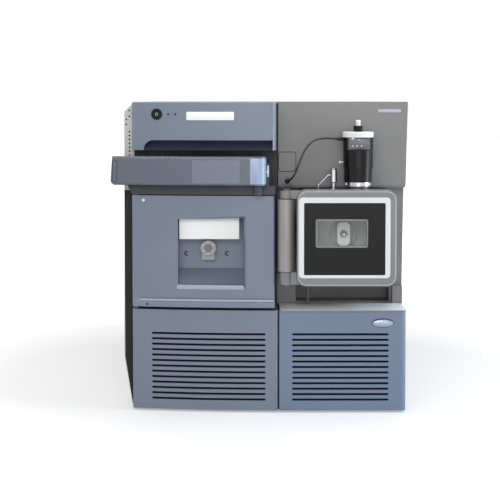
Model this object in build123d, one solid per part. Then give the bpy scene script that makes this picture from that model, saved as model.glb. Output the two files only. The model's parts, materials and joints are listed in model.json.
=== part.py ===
from build123d import *
import os
from math import asin, cos, degrees, pi, radians, sin, sqrt

os.makedirs("parts", exist_ok=True)

# Benchtop tandem quadrupole mass spectrometer, in millimetres.
# While it is laid out, x is zero at the middle of the front panels and runs to the right, y is zero at the
# foremost line of the lower panels and runs to the back, and z is zero at the bench. place() then moves every
# piece so that the origin is under the middle of the whole instrument.

# ---- cabinet
FRONT_WIDTH = 605.0
DEPTH = 865.0  # front line to the outer face of the rear panel
BOW_RADIUS = 1800.0  # plan radius of the bowed left panels
BOW_X = 16.0  # where the bow is square to the front
PANEL_WALL = 4.0  # moulded panels
PANEL_BACK = 62.0  # depth at which the panels' returns meet the chassis
SHEET = 3.0  # folded sheet metal
CHASSIS_INSET = 2.5  # front panels to the chassis, each side
SEAM_GAP = 3.5  # between the left and the right lower panel
FOOT_HEIGHT = 12.0
FOOT_RADIUS = 20.0
FOOT_INSET = 45.0
TRAY_RIM = 30.0

# ---- the stack of the left half, from the bench up
LOWER_PANEL_BOTTOM = 5.0
LOWER_PANEL_HEIGHT = 222.0
DOOR_GAP = 7.0
DOOR_HEIGHT = 246.0
CARRIER_GAP = 2.5
CARRIER_HEIGHT = 19.0
ARM_WASHER_HEIGHT = 2.5
ARM_HEIGHT = 63.0
ARM_HEADROOM = 13.0
FASCIA_HEIGHT = 106.0
LOWER_PANEL_TOP = LOWER_PANEL_BOTTOM + LOWER_PANEL_HEIGHT
DOOR_BOTTOM = LOWER_PANEL_TOP + DOOR_GAP
DOOR_TOP = DOOR_BOTTOM + DOOR_HEIGHT
CARRIER_BOTTOM = DOOR_TOP + CARRIER_GAP
CARRIER_TOP = CARRIER_BOTTOM + CARRIER_HEIGHT
ARM_BOTTOM = CARRIER_TOP + ARM_WASHER_HEIGHT
ARM_TOP = ARM_BOTTOM + ARM_HEIGHT
FASCIA_BOTTOM = ARM_TOP + ARM_HEADROOM
HEIGHT = FASCIA_BOTTOM + FASCIA_HEIGHT

LEFT_X = -FRONT_WIDTH / 2
RIGHT_X = FRONT_WIDTH / 2
CHASSIS_X = RIGHT_X - CHASSIS_INSET
LEFT_HALF_END = BOW_X  # right edge of the left half's panels
DIVIDER_X = LEFT_HALF_END + 0.5
RIGHT_HALF_START = DIVIDER_X + SHEET

# ---- side covers
LEFT_BULGE = 21.5  # how far the left cover stands out past the front panels
LEFT_CHAMFER = 22.0
RIGHT_BULGE = 10.5
VENT_RADIUS = 1.9
VENT_PITCH = 8.6
VENT_COUNT = 7

# ---- lower grilles
SLOT_PITCH = 12.1
SLOT_HEIGHT = 4.8
FIRST_SLOT_DROP = 52.5  # panel top to the first slot's middle
SLOT_FOOT = 24.0  # least height of the last slot's middle over the panel's foot
SLOT_COUNT = int((LOWER_PANEL_HEIGHT - FIRST_SLOT_DROP - SLOT_FOOT) / SLOT_PITCH) + 1
SLOT_MARGIN_LEFT = 43.0  # the left panel's outer edge to its slots
SLOT_MARGIN_SEAM = 27.0
SLOT_MARGIN_RIGHT = 38.5
FILTER_MARGIN = 12.0
FILTER_THICKNESS = 9.0
RIGHT_CORNER_ROUND = 11.0
LEFT_PANEL_END = LEFT_HALF_END + SEAM_GAP
RIGHT_PANEL_START = LEFT_PANEL_END + SEAM_GAP
LEFT_SLOTS = (LEFT_X + SLOT_MARGIN_LEFT, LEFT_PANEL_END - SLOT_MARGIN_SEAM)
RIGHT_SLOTS = (RIGHT_PANEL_START + SLOT_MARGIN_SEAM + 1, RIGHT_X - SLOT_MARGIN_RIGHT)

# ---- upper left fascia
FASCIA_ROUND = 15.0
SCOOP_HEIGHT = 22.0
SCOOP_DEPTH = 15.0
SCOOP_INSET_LEFT = 26.5
SCOOP_INSET_RIGHT = 8.0
SCOOP_LEFT = LEFT_X + SCOOP_INSET_LEFT
SCOOP_RIGHT = LEFT_HALF_END - SCOOP_INSET_RIGHT
SCOOP_LIP = 1.6
BUTTON_INSET = 55.5
CONTROL_DROP = 27.0  # top of the fascia to the line of button and lights
BUTTON_RADIUS = 6.6
BUTTON_TRAVEL = 2.5
BUTTON_LENGTH = 11.0
BUTTON_PROUD = 1.4
RING_RADIUS = 12.3
RING_PROUD = 1.6
RING_SLEEVE_RADIUS = 9.4
BUTTON_CLEARANCE = 0.3
LIGHT_RADIUS = 2.6
LIGHT_OFFSET = 25.5  # button to the first light
LIGHT_PITCH = 15.8
BUTTON_X = LEFT_X + BUTTON_INSET
BUTTON_Z = HEIGHT - CONTROL_DROP
LIGHT_XS = (BUTTON_X + LIGHT_OFFSET, BUTTON_X + LIGHT_OFFSET + LIGHT_PITCH)

# ---- swing arm
ARM_PROUD = 32.0  # how far the arm's front stands out in front of the bow
ARM_THICKNESS = 36.0
ARM_OVERHANG = 46.0  # past the left edge of the front
ARM_END_SLANT = 5.0  # its free end leans in by this much toward the top
ARM_END_CHAMFER = 9.0
ARM_PIN_INSET = 40.5
ARM_LEFT_X = LEFT_X - ARM_OVERHANG
ARM_PIN_X = LEFT_HALF_END - ARM_PIN_INSET
ARM_PIN_RADIUS = 5.0
ARM_PIN_ENGAGEMENT = 45.0
ARM_SWING = 90.0
RUNNING_CLEARANCE = 0.05
BARREL_WALL = 4.5
ARM_STOP_GAP = 1.2
ARM_STOP_HEIGHT = 50.0

# ---- fluidics door and what it covers
DOOR_WALL = 6.0
DOOR_BACK = 48.0
DOOR_SEAM = 3.5
DOOR_RIGHT_X = LEFT_HALF_END - DOOR_SEAM
DOOR_PIN_INSET = 9.0
DOOR_PIN_RADIUS = 3.0
DOOR_PIN_LENGTH = 16.0
DOOR_SWING = 100.0
WINDOW_OFFSET = 15.5  # door's middle to the window's
WINDOW_RISE = 122.0  # door's foot to the window's middle
WINDOW_WIDTH = 143.0
WINDOW_HEIGHT = 145.0
WINDOW_BEVEL = 7.5
WINDOW_X = (LEFT_X + DOOR_RIGHT_X) / 2 + WINDOW_OFFSET
WINDOW_Z = DOOR_BOTTOM + WINDOW_RISE
LIP_PROUD = 7.0
LIP_HEIGHT = 18.0
TRAY_BACK = 58.0
TRAY_GAP = 2.0
TRAY_MARGIN = 8.0
TRAY_WALL = 2.5
LEDGE_RISE = 34.0
VALVE_LEFT = 5.0  # window's middle to the valve
VALVE_RISE = 6.0
VALVE_X = WINDOW_X - VALVE_LEFT
VALVE_Z = WINDOW_Z + VALVE_RISE
VALVE_RADIUS = 17.0
VALVE_LENGTH = 20.0
ROTOR_RADIUS = 8.0
ROTOR_LENGTH = 24.0
VALVE_PORTS = 6
PORT_CIRCLE = 12.3

# ---- source recess and enclosure
FASCIA_Y = 85.0  # face of the upper right cover
RECESS_Y = 125.0  # back wall of the source recess
COVER_GAP = 7.0  # roof of the source housing to the upper cover
LEDGE_THICKNESS = 4.0
LEDGE_COVE = 2.0  # upstand where the ledge meets the recess's back wall
CAVITY_DEPTH = 55.0
SURROUND_PROUD = 5.5  # how far the recess's back wall runs past the front panels at its top
SURROUND_TAPER = 3.0
BLOCK_DEPTH = 16.0
LEFT_BLOCK_WIDTH = 43.0
LEFT_BLOCK_HEIGHT = 70.0
RIGHT_BLOCK_WIDTH = 22.5
RIGHT_BLOCK_HEIGHT = 40.0
ACCESS_WIDTH = 40.5  # outline of the small access cover over the socket
ACCESS_RISE = 31.5
ACCESS_HEIGHT = 45.0
SOURCE_INSET = 44.5  # end of the left half to the source door
SOURCE_RISE = 56.0  # ledge to the source door
SOURCE_WIDTH = 218.0
SOURCE_HEIGHT = 211.0
SOURCE_ROUND = 21.0
SOURCE_LEFT = LEFT_HALF_END + SOURCE_INSET
SOURCE_X = SOURCE_LEFT + SOURCE_WIDTH / 2
SOURCE_Z = LOWER_PANEL_TOP + SOURCE_RISE + SOURCE_HEIGHT / 2
SOURCE_FRONT = -22.0
SOURCE_DOOR_DEPTH = 36.0
SOURCE_DOOR_GAP = 0.5
HOUSING_INSET = 3.5
HOUSING_WALL = 8.0
ORIFICE_RADIUS = 30.0
HOLDER_WIDTH = 29.0
HOLDER_HEIGHT = 54.0
HOLDER_DEPTH = 18.0
CONE_RADIUS = 9.0
CONE_LENGTH = 30.0
TRIM_LEFT = 4.6  # margins of the door's bright trim inside the frame
TRIM_RIGHT = 14.2
TRIM_TOP = 15.6
TRIM_BOTTOM = 18.8
TRIM_WIDTH_SIDE = 10.8
TRIM_WIDTH_TOP = 12.0
TRIM_WIDTH_BOTTOM = 6.5
TRIM_DEPTH = 6.0
TRIM_ROUND = 8.0
PANEL_ROUND = 2.5
PANE_WIDTH = 114.5
PANE_HEIGHT = 62.6
PANE_OFFSET = 82.5  # black panel's left edge to the pane's middle
PANE_LIFT = 12.15  # above the black panel's middle
PANE_THICKNESS = 4.0
PANE_ROUND = 5.0
HINGE_OFFSET = 23.0
HINGE_X = SOURCE_LEFT - HINGE_OFFSET
HINGE_Y = 5.0
HINGE_BARREL_RADIUS = 18.5
HINGE_PIN_RADIUS = 6.0
LUG_RADIUS = 14.0
LUG_THICKNESS = 9.0  # half of it, each side of the hinge's axis
TOP_LUG_HEIGHT = 17.5
BOTTOM_LUG_HEIGHT = 27.5
HINGE_WASHER = 1.5
SOURCE_SWING = 95.0

# ---- probe
PROBE_OFFSET = 28.5  # middle of the source door to the probe's axis
PROBE_X = SOURCE_X + PROBE_OFFSET
PROBE_Y = 45.0
NECK_HEIGHT = 9.5
CLAMP_HEIGHT = 8.5
BODY_HEIGHT = 99.5
FLANGE_HEIGHT = 12.0
KNOB_HEIGHT = 13.0
BODY_RADIUS = 33.4
BODY_FOOT_RADIUS = 30.5
FLANGE_RADIUS = 34.5
CLAMP_RADIUS = 29.0
NECK_RADIUS = 25.0
PLATE_HALF_WIDTH = 26.0
KNOB_RADIUS = 10.3
STEM_RADIUS = 4.0
STEM_SEAT = 8.0
NOZZLE_RADIUS = 7.0
NOZZLE_RISE = 44.5
GAS_FITTING_OFFSET = 54.0
NOZZLE_TIP_Z = SOURCE_Z + NOZZLE_RISE
GAS_FITTING_X = PROBE_X - GAS_FITTING_OFFSET
STEP_LOW = 31.0  # clamp ring to the body's first step
STEP_HIGH = 70.5

# ---- probe cable
SOCKET_INSET = 26.0
SOCKET_X = LEFT_HALF_END + SOCKET_INSET
SOCKET_RISE = 11.0
SOCKET_RADIUS = 11.0
SOCKET_PROUD = 4.0
PLUG_RADIUS = 6.0
PLUG_LENGTH = 21.0
CABLE_RADIUS = 2.2
GLAND_RADIUS = 3.8
GLAND_LENGTH = 10.0
GLAND_DROP = 4.0

# ---- vacuum system
MANIFOLD_WIDTH = 150.0
MANIFOLD_BELOW_BEAM = 62.5
MANIFOLD_ABOVE_BEAM = 51.5
MANIFOLD_FLOOR_Z = SOURCE_Z - MANIFOLD_BELOW_BEAM
MANIFOLD_TOP_Z = SOURCE_Z + MANIFOLD_ABOVE_BEAM
MANIFOLD_WALL = 10.0
LID_THICKNESS = 12.0
PUMP_RADIUS = 62.0
PUMP_OFFSET = 125.0  # recess's back wall to the first pump
PUMP_PITCH = 310.0
PUMP_YS = (RECESS_Y + PUMP_OFFSET, RECESS_Y + PUMP_OFFSET + PUMP_PITCH)
ROD_RADIUS = 6.0
ROD_CIRCLE = 13.0
ROD_LENGTH = 150.0
COLLAR_RADIUS = 27.0
COLLAR_LENGTH = 14.0
GUIDE_LENGTH = 90.0
GUIDE_RINGS = 6
GUIDE_SIZE = 42.0
CELL_LENGTH = 90.0
CELL_WIDTH = 48.0
DETECTOR_LENGTH = 50.0
BEAM_GAP = 15.0  # between one device along the beam and the next
GUIDE_GAP = 25.0
GUIDE_START = RECESS_Y + GUIDE_GAP
FRONT_QUAD_START = GUIDE_START + GUIDE_LENGTH + BEAM_GAP
CELL_START = FRONT_QUAD_START + ROD_LENGTH + BEAM_GAP
REAR_QUAD_START = CELL_START + CELL_LENGTH + BEAM_GAP
DETECTOR_START = REAR_QUAD_START + ROD_LENGTH + BEAM_GAP

# ---- electronics and rear panel
SUPPLY_WIDTH = 180.0
SUPPLY_LENGTH = 280.0
SUPPLY_HEIGHT = 120.0
SUPPLY_START = 360.0
MODULE_WIDTH = 240.0
MODULE_LENGTH = 460.0
MODULE_HEIGHT = 250.0
MODULE_START = 300.0
MODULE_INSET = 30.0
FIN_COUNT = 8
FIN_PITCH = 30.0
FIN_HEIGHT = 12.0
FAN_SIZE = 80.0
FAN_THICKNESS = 25.0
FAN_BORE = 37.5
FAN_HUB = 16.0
FAN_BLADES = 7
FAN_BLADE_RADIUS = 35.5
FAN_SHAFT_RADIUS = 2.0
FAN_INSET = 155.0
FAN_RISE = 108.0
FAN_X = FAN_INSET - CHASSIS_X
FAN_Z = FOOT_HEIGHT + FAN_RISE
GAS_PORT_RADIUS = 3.0
GAS_PORT_INSET = 43.5
GAS_PORT_PITCH = 30.0
GAS_PORT_DROP = 126.0
GAS_PORT_XS = (DIVIDER_X + GAS_PORT_INSET, DIVIDER_X + GAS_PORT_INSET + GAS_PORT_PITCH)
GAS_PORT_Z = HEIGHT - GAS_PORT_DROP
GAS_PORT_LENGTH = 22.0
BACKING_PORT_X = SOURCE_X
BACKING_PORT_RADIUS = 12.5
BACKING_PORT_WALL = 3.5
BACKING_PORT_Z = LOWER_PANEL_TOP + BACKING_PORT_RADIUS + BACKING_PORT_WALL + 3.0
PORT_REACH = 38.0  # how far the backing port stands out behind the rear panel
MAINS_INSET = 52.5
MAINS_RISE = 60.0
MAINS_X = DIVIDER_X - MAINS_INSET
MAINS_Z = FOOT_HEIGHT + MAINS_RISE
MAINS_WIDTH = 32.0
MAINS_HEIGHT = 24.0

ORIGIN_X = (ARM_LEFT_X + RIGHT_X + RIGHT_BULGE) / 2


def bow_y(x, proud=0.0):
    """Depth at x of the bowed front, or of a surface that stands proud of it."""
    return BOW_RADIUS - sqrt((BOW_RADIUS + proud) ** 2 - (x - BOW_X) ** 2)


ARM_PIN_Y = bow_y(ARM_PIN_X, ARM_PROUD - ARM_THICKNESS / 2)
ORIGIN_Y = (ARM_PIN_Y - ARM_THICKNESS / 2 + DEPTH + PORT_REACH) / 2
DOOR_PIN_X = LEFT_X + DOOR_PIN_INSET
DOOR_PIN_Y = bow_y(LEFT_X + DOOR_PIN_INSET) + DOOR_PIN_INSET
HOUSING_TOP = SOURCE_Z + SOURCE_HEIGHT / 2 - HOUSING_INSET
HOUSING_FRONT = SOURCE_FRONT + SOURCE_DOOR_DEPTH + SOURCE_DOOR_GAP
UPPER_COVER_BOTTOM = HOUSING_TOP + COVER_GAP
SOCKET_Z = UPPER_COVER_BOTTOM + SOCKET_RISE
NECK_TOP = HOUSING_TOP + NECK_HEIGHT
CLAMP_TOP = NECK_TOP + CLAMP_HEIGHT
BODY_TOP = CLAMP_TOP + BODY_HEIGHT
FLANGE_TOP = BODY_TOP + FLANGE_HEIGHT
KNOB_TOP = FLANGE_TOP + KNOB_HEIGHT
GLAND_Z = BODY_TOP - GLAND_DROP
TRIM_X0 = SOURCE_X - SOURCE_WIDTH / 2 + TRIM_LEFT
TRIM_X1 = SOURCE_X + SOURCE_WIDTH / 2 - TRIM_RIGHT
TRIM_Z0 = SOURCE_Z - SOURCE_HEIGHT / 2 + TRIM_BOTTOM
TRIM_Z1 = SOURCE_Z + SOURCE_HEIGHT / 2 - TRIM_TOP
PANEL_X0 = TRIM_X0 + TRIM_WIDTH_SIDE
PANEL_X1 = TRIM_X1 - TRIM_WIDTH_SIDE
PANEL_Z0 = TRIM_Z0 + TRIM_WIDTH_BOTTOM
PANEL_Z1 = TRIM_Z1 - TRIM_WIDTH_TOP
PANE_X = PANEL_X0 + PANE_OFFSET
PANE_Z = (PANEL_Z0 + PANEL_Z1) / 2 + PANE_LIFT
HINGE_TOP = SOURCE_Z + SOURCE_HEIGHT / 2 - 2.0
HINGE_BOTTOM = SOURCE_Z - SOURCE_HEIGHT / 2 + 2.0


# ---------------------------------------------------------------- shared shapes


def box(x0, x1, y0, y1, z0, z1):
    """A box between two corners."""
    return Pos((x0 + x1) / 2, (y0 + y1) / 2, (z0 + z1) / 2) * Box(x1 - x0, y1 - y0, z1 - z0)


def upright(radius, x, y, z0, z1):
    """A vertical cylinder."""
    return Pos(x, y, (z0 + z1) / 2) * Cylinder(radius, z1 - z0)


def along_y(radius, x, z, y0, y1):
    """A cylinder that runs from front to back."""
    return Pos(x, (y0 + y1) / 2, z) * Rot(90, 0, 0) * Cylinder(radius, y1 - y0)


def front_slab(x0, x1, z0, z1, y0, y1, rounding):
    """A plate that faces the front, with rounded corners."""
    outline = RectangleRounded(x1 - x0, z1 - z0, rounding)
    return Pos((x0 + x1) / 2, y1, (z0 + z1) / 2) * extrude(Plane.XZ * outline, y1 - y0)


def front_round(part, level, radius, tolerance=0.4):
    """Rounds the horizontal edges of a part's front at one height."""
    middle = part.bounding_box().center().Y
    edges = [
        e
        for e in part.edges()
        if abs(e.center().Z - level) < tolerance and e.center().Y < middle and e.length > FASCIA_ROUND * 2
    ]
    return fillet(edges, radius)


def bow_plan(x0, x1, back, proud=0.0, left_round=0.0, right_round=0.0):
    """Plan of a block with a bowed front, and rounded front corners."""
    y0 = bow_y(x0, proud)
    y1 = bow_y(x1, proud)
    middle = (x0 + x1) / 2
    front = ThreePointArc((x0, y0), (middle, bow_y(middle, proud)), (x1, y1))
    plan = make_face([front, Polyline((x1, y1), (x1, back), (x0, back), (x0, y0))])
    if left_round:
        plan = fillet(plan.vertices().sort_by_distance((x0, y0, 0))[0], left_round)
    if right_round:
        plan = fillet(plan.vertices().sort_by_distance((x1, y1, 0))[0], right_round)
    return plan


def bow_block(x0, x1, z0, z1, back, proud=0.0, left_round=0.0, right_round=0.0):
    """A block with a bowed front."""
    return Pos(0, 0, z0) * extrude(bow_plan(x0, x1, back, proud, left_round, right_round), z1 - z0)


def bow_band(x0, x1, z0, z1, outer, inner):
    """A curved strip between two surfaces concentric with the bow."""
    back = bow_y(x0, inner) + ARM_THICKNESS
    strip = bow_block(x0, x1, z0, z1, back, outer)
    return strip - bow_block(x0 - 1, x1 + 1, z0 - 1, z1 + 1, back + 1, inner)


def bow_sweep(points, x0, x1):
    """Revolves a section about the bow's axis. Its points are (how far proud of the bow, height)."""
    start = degrees(asin((BOW_X - x1) / BOW_RADIUS))
    end = degrees(asin((BOW_X - x0) / BOW_RADIUS))
    section = Plane((BOW_X, BOW_RADIUS, 0), x_dir=(0, -1, 0), z_dir=(-1, 0, 0))
    outline = Polyline(*[(BOW_RADIUS + proud, z) for proud, z in points], close=True)
    axis = Axis((BOW_X, BOW_RADIUS, 0), (0, 0, -1))
    face = (section * make_face(outline)).rotate(axis, start)
    return revolve(face, axis, end - start)


def bow_plane(x, z):
    """The tangent plane on the bow at x and z. It looks outward, with its own y upward."""
    out = Vector((x - BOW_X) / BOW_RADIUS, (bow_y(x) - BOW_RADIUS) / BOW_RADIUS, 0)
    return Plane((x, bow_y(x), z), x_dir=Vector(0, 0, 1).cross(out) * -1, z_dir=out)


def on_bow(x, z, radius, inside, outside):
    """A round bar square to the bow, from inside it to outside it."""
    return bow_plane(x, z) * Pos(0, 0, (outside - inside) / 2) * Cylinder(radius, inside + outside)


def bow_shell(x0, x1, z0, z1, wall, back, left_round, right_round):
    """A moulded panel: a bowed front with returns all round, open at the back."""
    outer = bow_block(x0, x1, z0, z1, back, 0, left_round, right_round)
    left_inner = max(left_round - wall, 0)
    right_inner = max(right_round - wall, 0)
    low = z0 + wall
    inner = bow_block(x0 + wall, x1 - wall, low, z1 - wall, back + 1, -wall, left_inner, right_inner)
    return outer - inner


def ring(outer, inner, height):
    """A flat ring on the XY plane."""
    return extrude(Circle(outer) - Circle(inner), height)


# ---------------------------------------------------------------- chassis and covers


def base_tray():
    """Folded pan that everything stands in."""
    pan = box(-CHASSIS_X, CHASSIS_X, PANEL_BACK, DEPTH - SHEET, FOOT_HEIGHT, FOOT_HEIGHT + TRAY_RIM)
    inside = box(
        -CHASSIS_X + SHEET,
        CHASSIS_X - SHEET,
        PANEL_BACK + SHEET,
        DEPTH - 2 * SHEET,
        FOOT_HEIGHT + SHEET,
        FOOT_HEIGHT + TRAY_RIM + 1,
    )
    return pan - inside


def feet():
    """Four rubber feet under the tray."""
    x = CHASSIS_X - FOOT_INSET
    front = PANEL_BACK + FOOT_INSET
    rear = DEPTH - FOOT_INSET
    foot = extrude(Circle(FOOT_RADIUS), FOOT_HEIGHT, taper=-6)
    return [Pos(px, py, 0) * foot for px in (-x, x) for py in (front, rear)]


def centre_divider():
    """Upright bulkhead between the electronics and the vacuum side."""
    low = FOOT_HEIGHT + SHEET
    return box(DIVIDER_X, DIVIDER_X + SHEET, PANEL_BACK + SHEET, DEPTH - 2 * SHEET, low, HEIGHT - SHEET)


def front_bulkhead():
    """Plate behind the left half's door, arm and fascia, with a hole for the valve's drive."""
    back = PANEL_BACK + SHEET
    plate = box(-CHASSIS_X, DIVIDER_X + SHEET, PANEL_BACK, back, LOWER_PANEL_TOP, HEIGHT - SHEET)
    return plate - along_y(VALVE_RADIUS + 1, VALVE_X, VALVE_Z, PANEL_BACK - 1, back + 1)


def shelves():
    """Horizontal plates on both sides of the divider, level with the lower panels' tops."""
    low = LOWER_PANEL_TOP - SHEET
    left = box(-CHASSIS_X, DIVIDER_X, PANEL_BACK, DEPTH - SHEET, low, LOWER_PANEL_TOP)
    right = box(DIVIDER_X + SHEET, CHASSIS_X, RECESS_Y, DEPTH - SHEET, low, LOWER_PANEL_TOP)
    return [left, right]


def top_cover():
    """Flat top, set back over the right half."""
    left = box(-CHASSIS_X, DIVIDER_X + SHEET, PANEL_BACK, DEPTH, HEIGHT - SHEET, HEIGHT)
    right = box(DIVIDER_X + SHEET, CHASSIS_X, FASCIA_Y, DEPTH, HEIGHT - SHEET, HEIGHT)
    return left + right


def side_profile(side, points):
    """Cross-section of a side cover, from points (how far out from the chassis, height)."""
    return Plane.XZ * make_face(Polyline(*[(side * (CHASSIS_X + out), z) for out, z in points], close=True))


def left_side_cover():
    """Bulged cover with a chamfered top, and small vents in its front return."""
    out = LEFT_BULGE + RIGHT_X - CHASSIS_X
    foot = 0.25 * out
    low = LOWER_PANEL_BOTTOM
    waist = (LOWER_PANEL_BOTTOM + LOWER_PANEL_HEIGHT) / 2
    outline = [
        (0, low),
        (foot, low),
        (out, waist),
        (out, DOOR_BOTTOM),
        (out - 2, HEIGHT - LEFT_CHAMFER),
        (0, HEIGHT),
    ]
    inner = [
        (-1, low + SHEET),
        (foot - 1, low + SHEET),
        (out - SHEET, waist + 1),
        (out - SHEET, DOOR_BOTTOM),
        (out - 2 - SHEET, HEIGHT - LEFT_CHAMFER - 2),
        (-1, HEIGHT - SHEET - 1),
    ]
    shell = extrude(side_profile(-1, outline), -(DEPTH - PANEL_BACK))
    hollow = extrude(side_profile(-1, inner), -(DEPTH - PANEL_BACK - 2 * SHEET))
    cover = Pos(0, PANEL_BACK, 0) * (shell - Pos(0, SHEET, 0) * hollow)
    column = -CHASSIS_X - out * 0.45
    places = [(column, FASCIA_BOTTOM - 12 + VENT_PITCH * i) for i in range(VENT_COUNT)]
    places += [(column - 7, HEIGHT - 50), (column - 7, HEIGHT - 39)]
    places += [(column, HEIGHT - 32), (column, HEIGHT - 19)]
    for x, z in places:
        cover -= along_y(VENT_RADIUS, x, z, PANEL_BACK - 1, PANEL_BACK + SHEET + 1)
    return cover


def right_side_cover():
    """Flatter cover, cut back round the open side of the source recess."""
    out = RIGHT_BULGE + RIGHT_X - CHASSIS_X
    outline = [(0, LOWER_PANEL_BOTTOM), (2, LOWER_PANEL_BOTTOM), (4, DOOR_BOTTOM), (out, HEIGHT), (0, HEIGHT)]
    cover = Pos(0, PANEL_BACK, 0) * extrude(side_profile(1, outline), -(DEPTH - PANEL_BACK))
    inner = [(-1, DOOR_BOTTOM), (1, DOOR_BOTTOM), (out - SHEET, HEIGHT - SHEET), (-1, HEIGHT - SHEET)]
    hollow_front = RECESS_Y + 3 * SHEET
    cover -= Pos(0, hollow_front, 0) * extrude(side_profile(1, inner), -(DEPTH - SHEET - hollow_front))
    ledge = LOWER_PANEL_TOP - LEDGE_THICKNESS
    cover -= box(CHASSIS_X - 1, RIGHT_X + 30, 0, RECESS_Y + PANEL_WALL, ledge, UPPER_COVER_BOTTOM)
    cover -= box(CHASSIS_X - 1, RIGHT_X + 30, 0, FASCIA_Y + PANEL_WALL, UPPER_COVER_BOTTOM - 1, HEIGHT + 1)
    return cover


def rear_panel():
    """Rear plate with its fan, port and inlet holes."""
    plate = box(-CHASSIS_X, CHASSIS_X, DEPTH - SHEET, DEPTH, FOOT_HEIGHT, HEIGHT - SHEET)
    plate -= along_y(FAN_BORE, FAN_X, FAN_Z, DEPTH - SHEET - 1, DEPTH + 1)
    for x in GAS_PORT_XS:
        plate -= along_y(GAS_PORT_RADIUS + 3, x, GAS_PORT_Z, DEPTH - SHEET - 1, DEPTH + 1)
    plate -= along_y(BACKING_PORT_RADIUS + 4, BACKING_PORT_X, BACKING_PORT_Z, DEPTH - SHEET - 1, DEPTH + 1)
    plate -= mains_opening()
    return plate


# ---------------------------------------------------------------- lower grilles


def slots(span, depth):
    """Rounded ventilation slots, one above the other, cut from front to back."""
    x = sum(span) / 2
    shape = SlotOverall(span[1] - span[0], SLOT_HEIGHT)
    first = LOWER_PANEL_TOP - FIRST_SLOT_DROP
    levels = [first - SLOT_PITCH * i for i in range(SLOT_COUNT)]
    return [Pos(x, depth, z) * extrude(Plane.XZ * shape, depth * 2) for z in levels]


def lower_left_grille():
    """Bowed grille panel."""
    bottom = LOWER_PANEL_BOTTOM
    panel = bow_shell(LEFT_X, LEFT_PANEL_END, bottom, LOWER_PANEL_TOP, PANEL_WALL, PANEL_BACK, 5, 3)
    for slot in slots(LEFT_SLOTS, bow_y(LEFT_X) + PANEL_WALL):
        panel -= slot
    return panel


def lower_right_grille():
    """Flat grille panel with a rounded right corner. The ledge closes its top."""
    left = RIGHT_PANEL_START
    top = LOWER_PANEL_TOP - LEDGE_THICKNESS
    plan = Rectangle(RIGHT_X - left, PANEL_BACK)
    plan = Pos((left + RIGHT_X) / 2, PANEL_BACK / 2) * plan
    plan = fillet(plan.vertices().sort_by_distance((RIGHT_X, 0, 0))[0], RIGHT_CORNER_ROUND)
    inner = Pos((left + RIGHT_X) / 2, PANEL_BACK / 2 + PANEL_WALL) * Rectangle(
        RIGHT_X - left - 2 * PANEL_WALL, PANEL_BACK
    )
    corner = inner.vertices().sort_by_distance((RIGHT_X, 0, 0))[0]
    inner = fillet(corner, RIGHT_CORNER_ROUND - PANEL_WALL)
    panel = Pos(0, 0, LOWER_PANEL_BOTTOM) * extrude(plan, top - LOWER_PANEL_BOTTOM)
    panel -= Pos(0, 0, LOWER_PANEL_BOTTOM + PANEL_WALL) * extrude(inner, top)
    for slot in slots(RIGHT_SLOTS, PANEL_WALL + 1):
        panel -= slot
    return panel


def filter_levels():
    """Lowest and highest line of the air filters."""
    high = LOWER_PANEL_TOP - FIRST_SLOT_DROP + FILTER_MARGIN
    return high - SLOT_PITCH * (SLOT_COUNT - 1) - 2 * FILTER_MARGIN, high


def air_filters():
    """Foam filters against the backs of both grilles."""
    low, high = filter_levels()
    back = PANEL_WALL + FILTER_THICKNESS
    margin = FILTER_MARGIN
    bowed = bow_band(LEFT_SLOTS[0] - margin, LEFT_SLOTS[1] + margin, low, high, -PANEL_WALL, -back)
    flat = box(RIGHT_SLOTS[0] - margin, RIGHT_SLOTS[1] + margin, PANEL_WALL, back, low, high)
    return [bowed, flat]


# ---------------------------------------------------------------- upper left fascia and its controls


def scoop_cut():
    """Finger scoop: deep along its top, running out to the front at its foot."""
    top = FASCIA_BOTTOM + SCOOP_HEIGHT
    deep = -SCOOP_DEPTH
    low = FASCIA_BOTTOM
    section = [(20, top), (deep, top), (deep, top - 5), (-SCOOP_LIP, low), (20, low - 5)]
    groove = bow_sweep(section, SCOOP_LEFT, SCOOP_RIGHT)
    width = SCOOP_RIGHT - SCOOP_LEFT
    outline = Pos((SCOOP_LEFT + SCOOP_RIGHT) / 2, top - SCOOP_HEIGHT) * Rectangle(width, 2 * SCOOP_HEIGHT)
    outline = fillet(outline.vertices().sort_by_distance((SCOOP_LEFT, top, 0))[0], SCOOP_HEIGHT - 1)
    return groove & (Pos(0, PANEL_BACK, 0) * extrude(Plane.XZ * outline, PANEL_BACK * 2))


def upper_left_fascia():
    """Bowed control panel with a finger scoop along its foot."""
    wall = PANEL_WALL
    low = FASCIA_BOTTOM
    panel = bow_shell(LEFT_X, LEFT_HALF_END, low, HEIGHT, wall, PANEL_BACK, wall + 1, FASCIA_ROUND)
    thick = SCOOP_DEPTH + wall
    panel += bow_band(SCOOP_LEFT - wall, SCOOP_RIGHT, low, low + SCOOP_HEIGHT + wall, -1, -thick)
    panel -= scoop_cut()
    panel = front_round(panel, HEIGHT, 3.0)
    panel -= on_bow(BUTTON_X, BUTTON_Z, RING_SLEEVE_RADIUS, 3 * PANEL_WALL, 3 * PANEL_WALL)
    for x in LIGHT_XS:
        panel -= on_bow(x, BUTTON_Z, LIGHT_RADIUS, 3 * PANEL_WALL, 3 * PANEL_WALL)
    return panel


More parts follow.
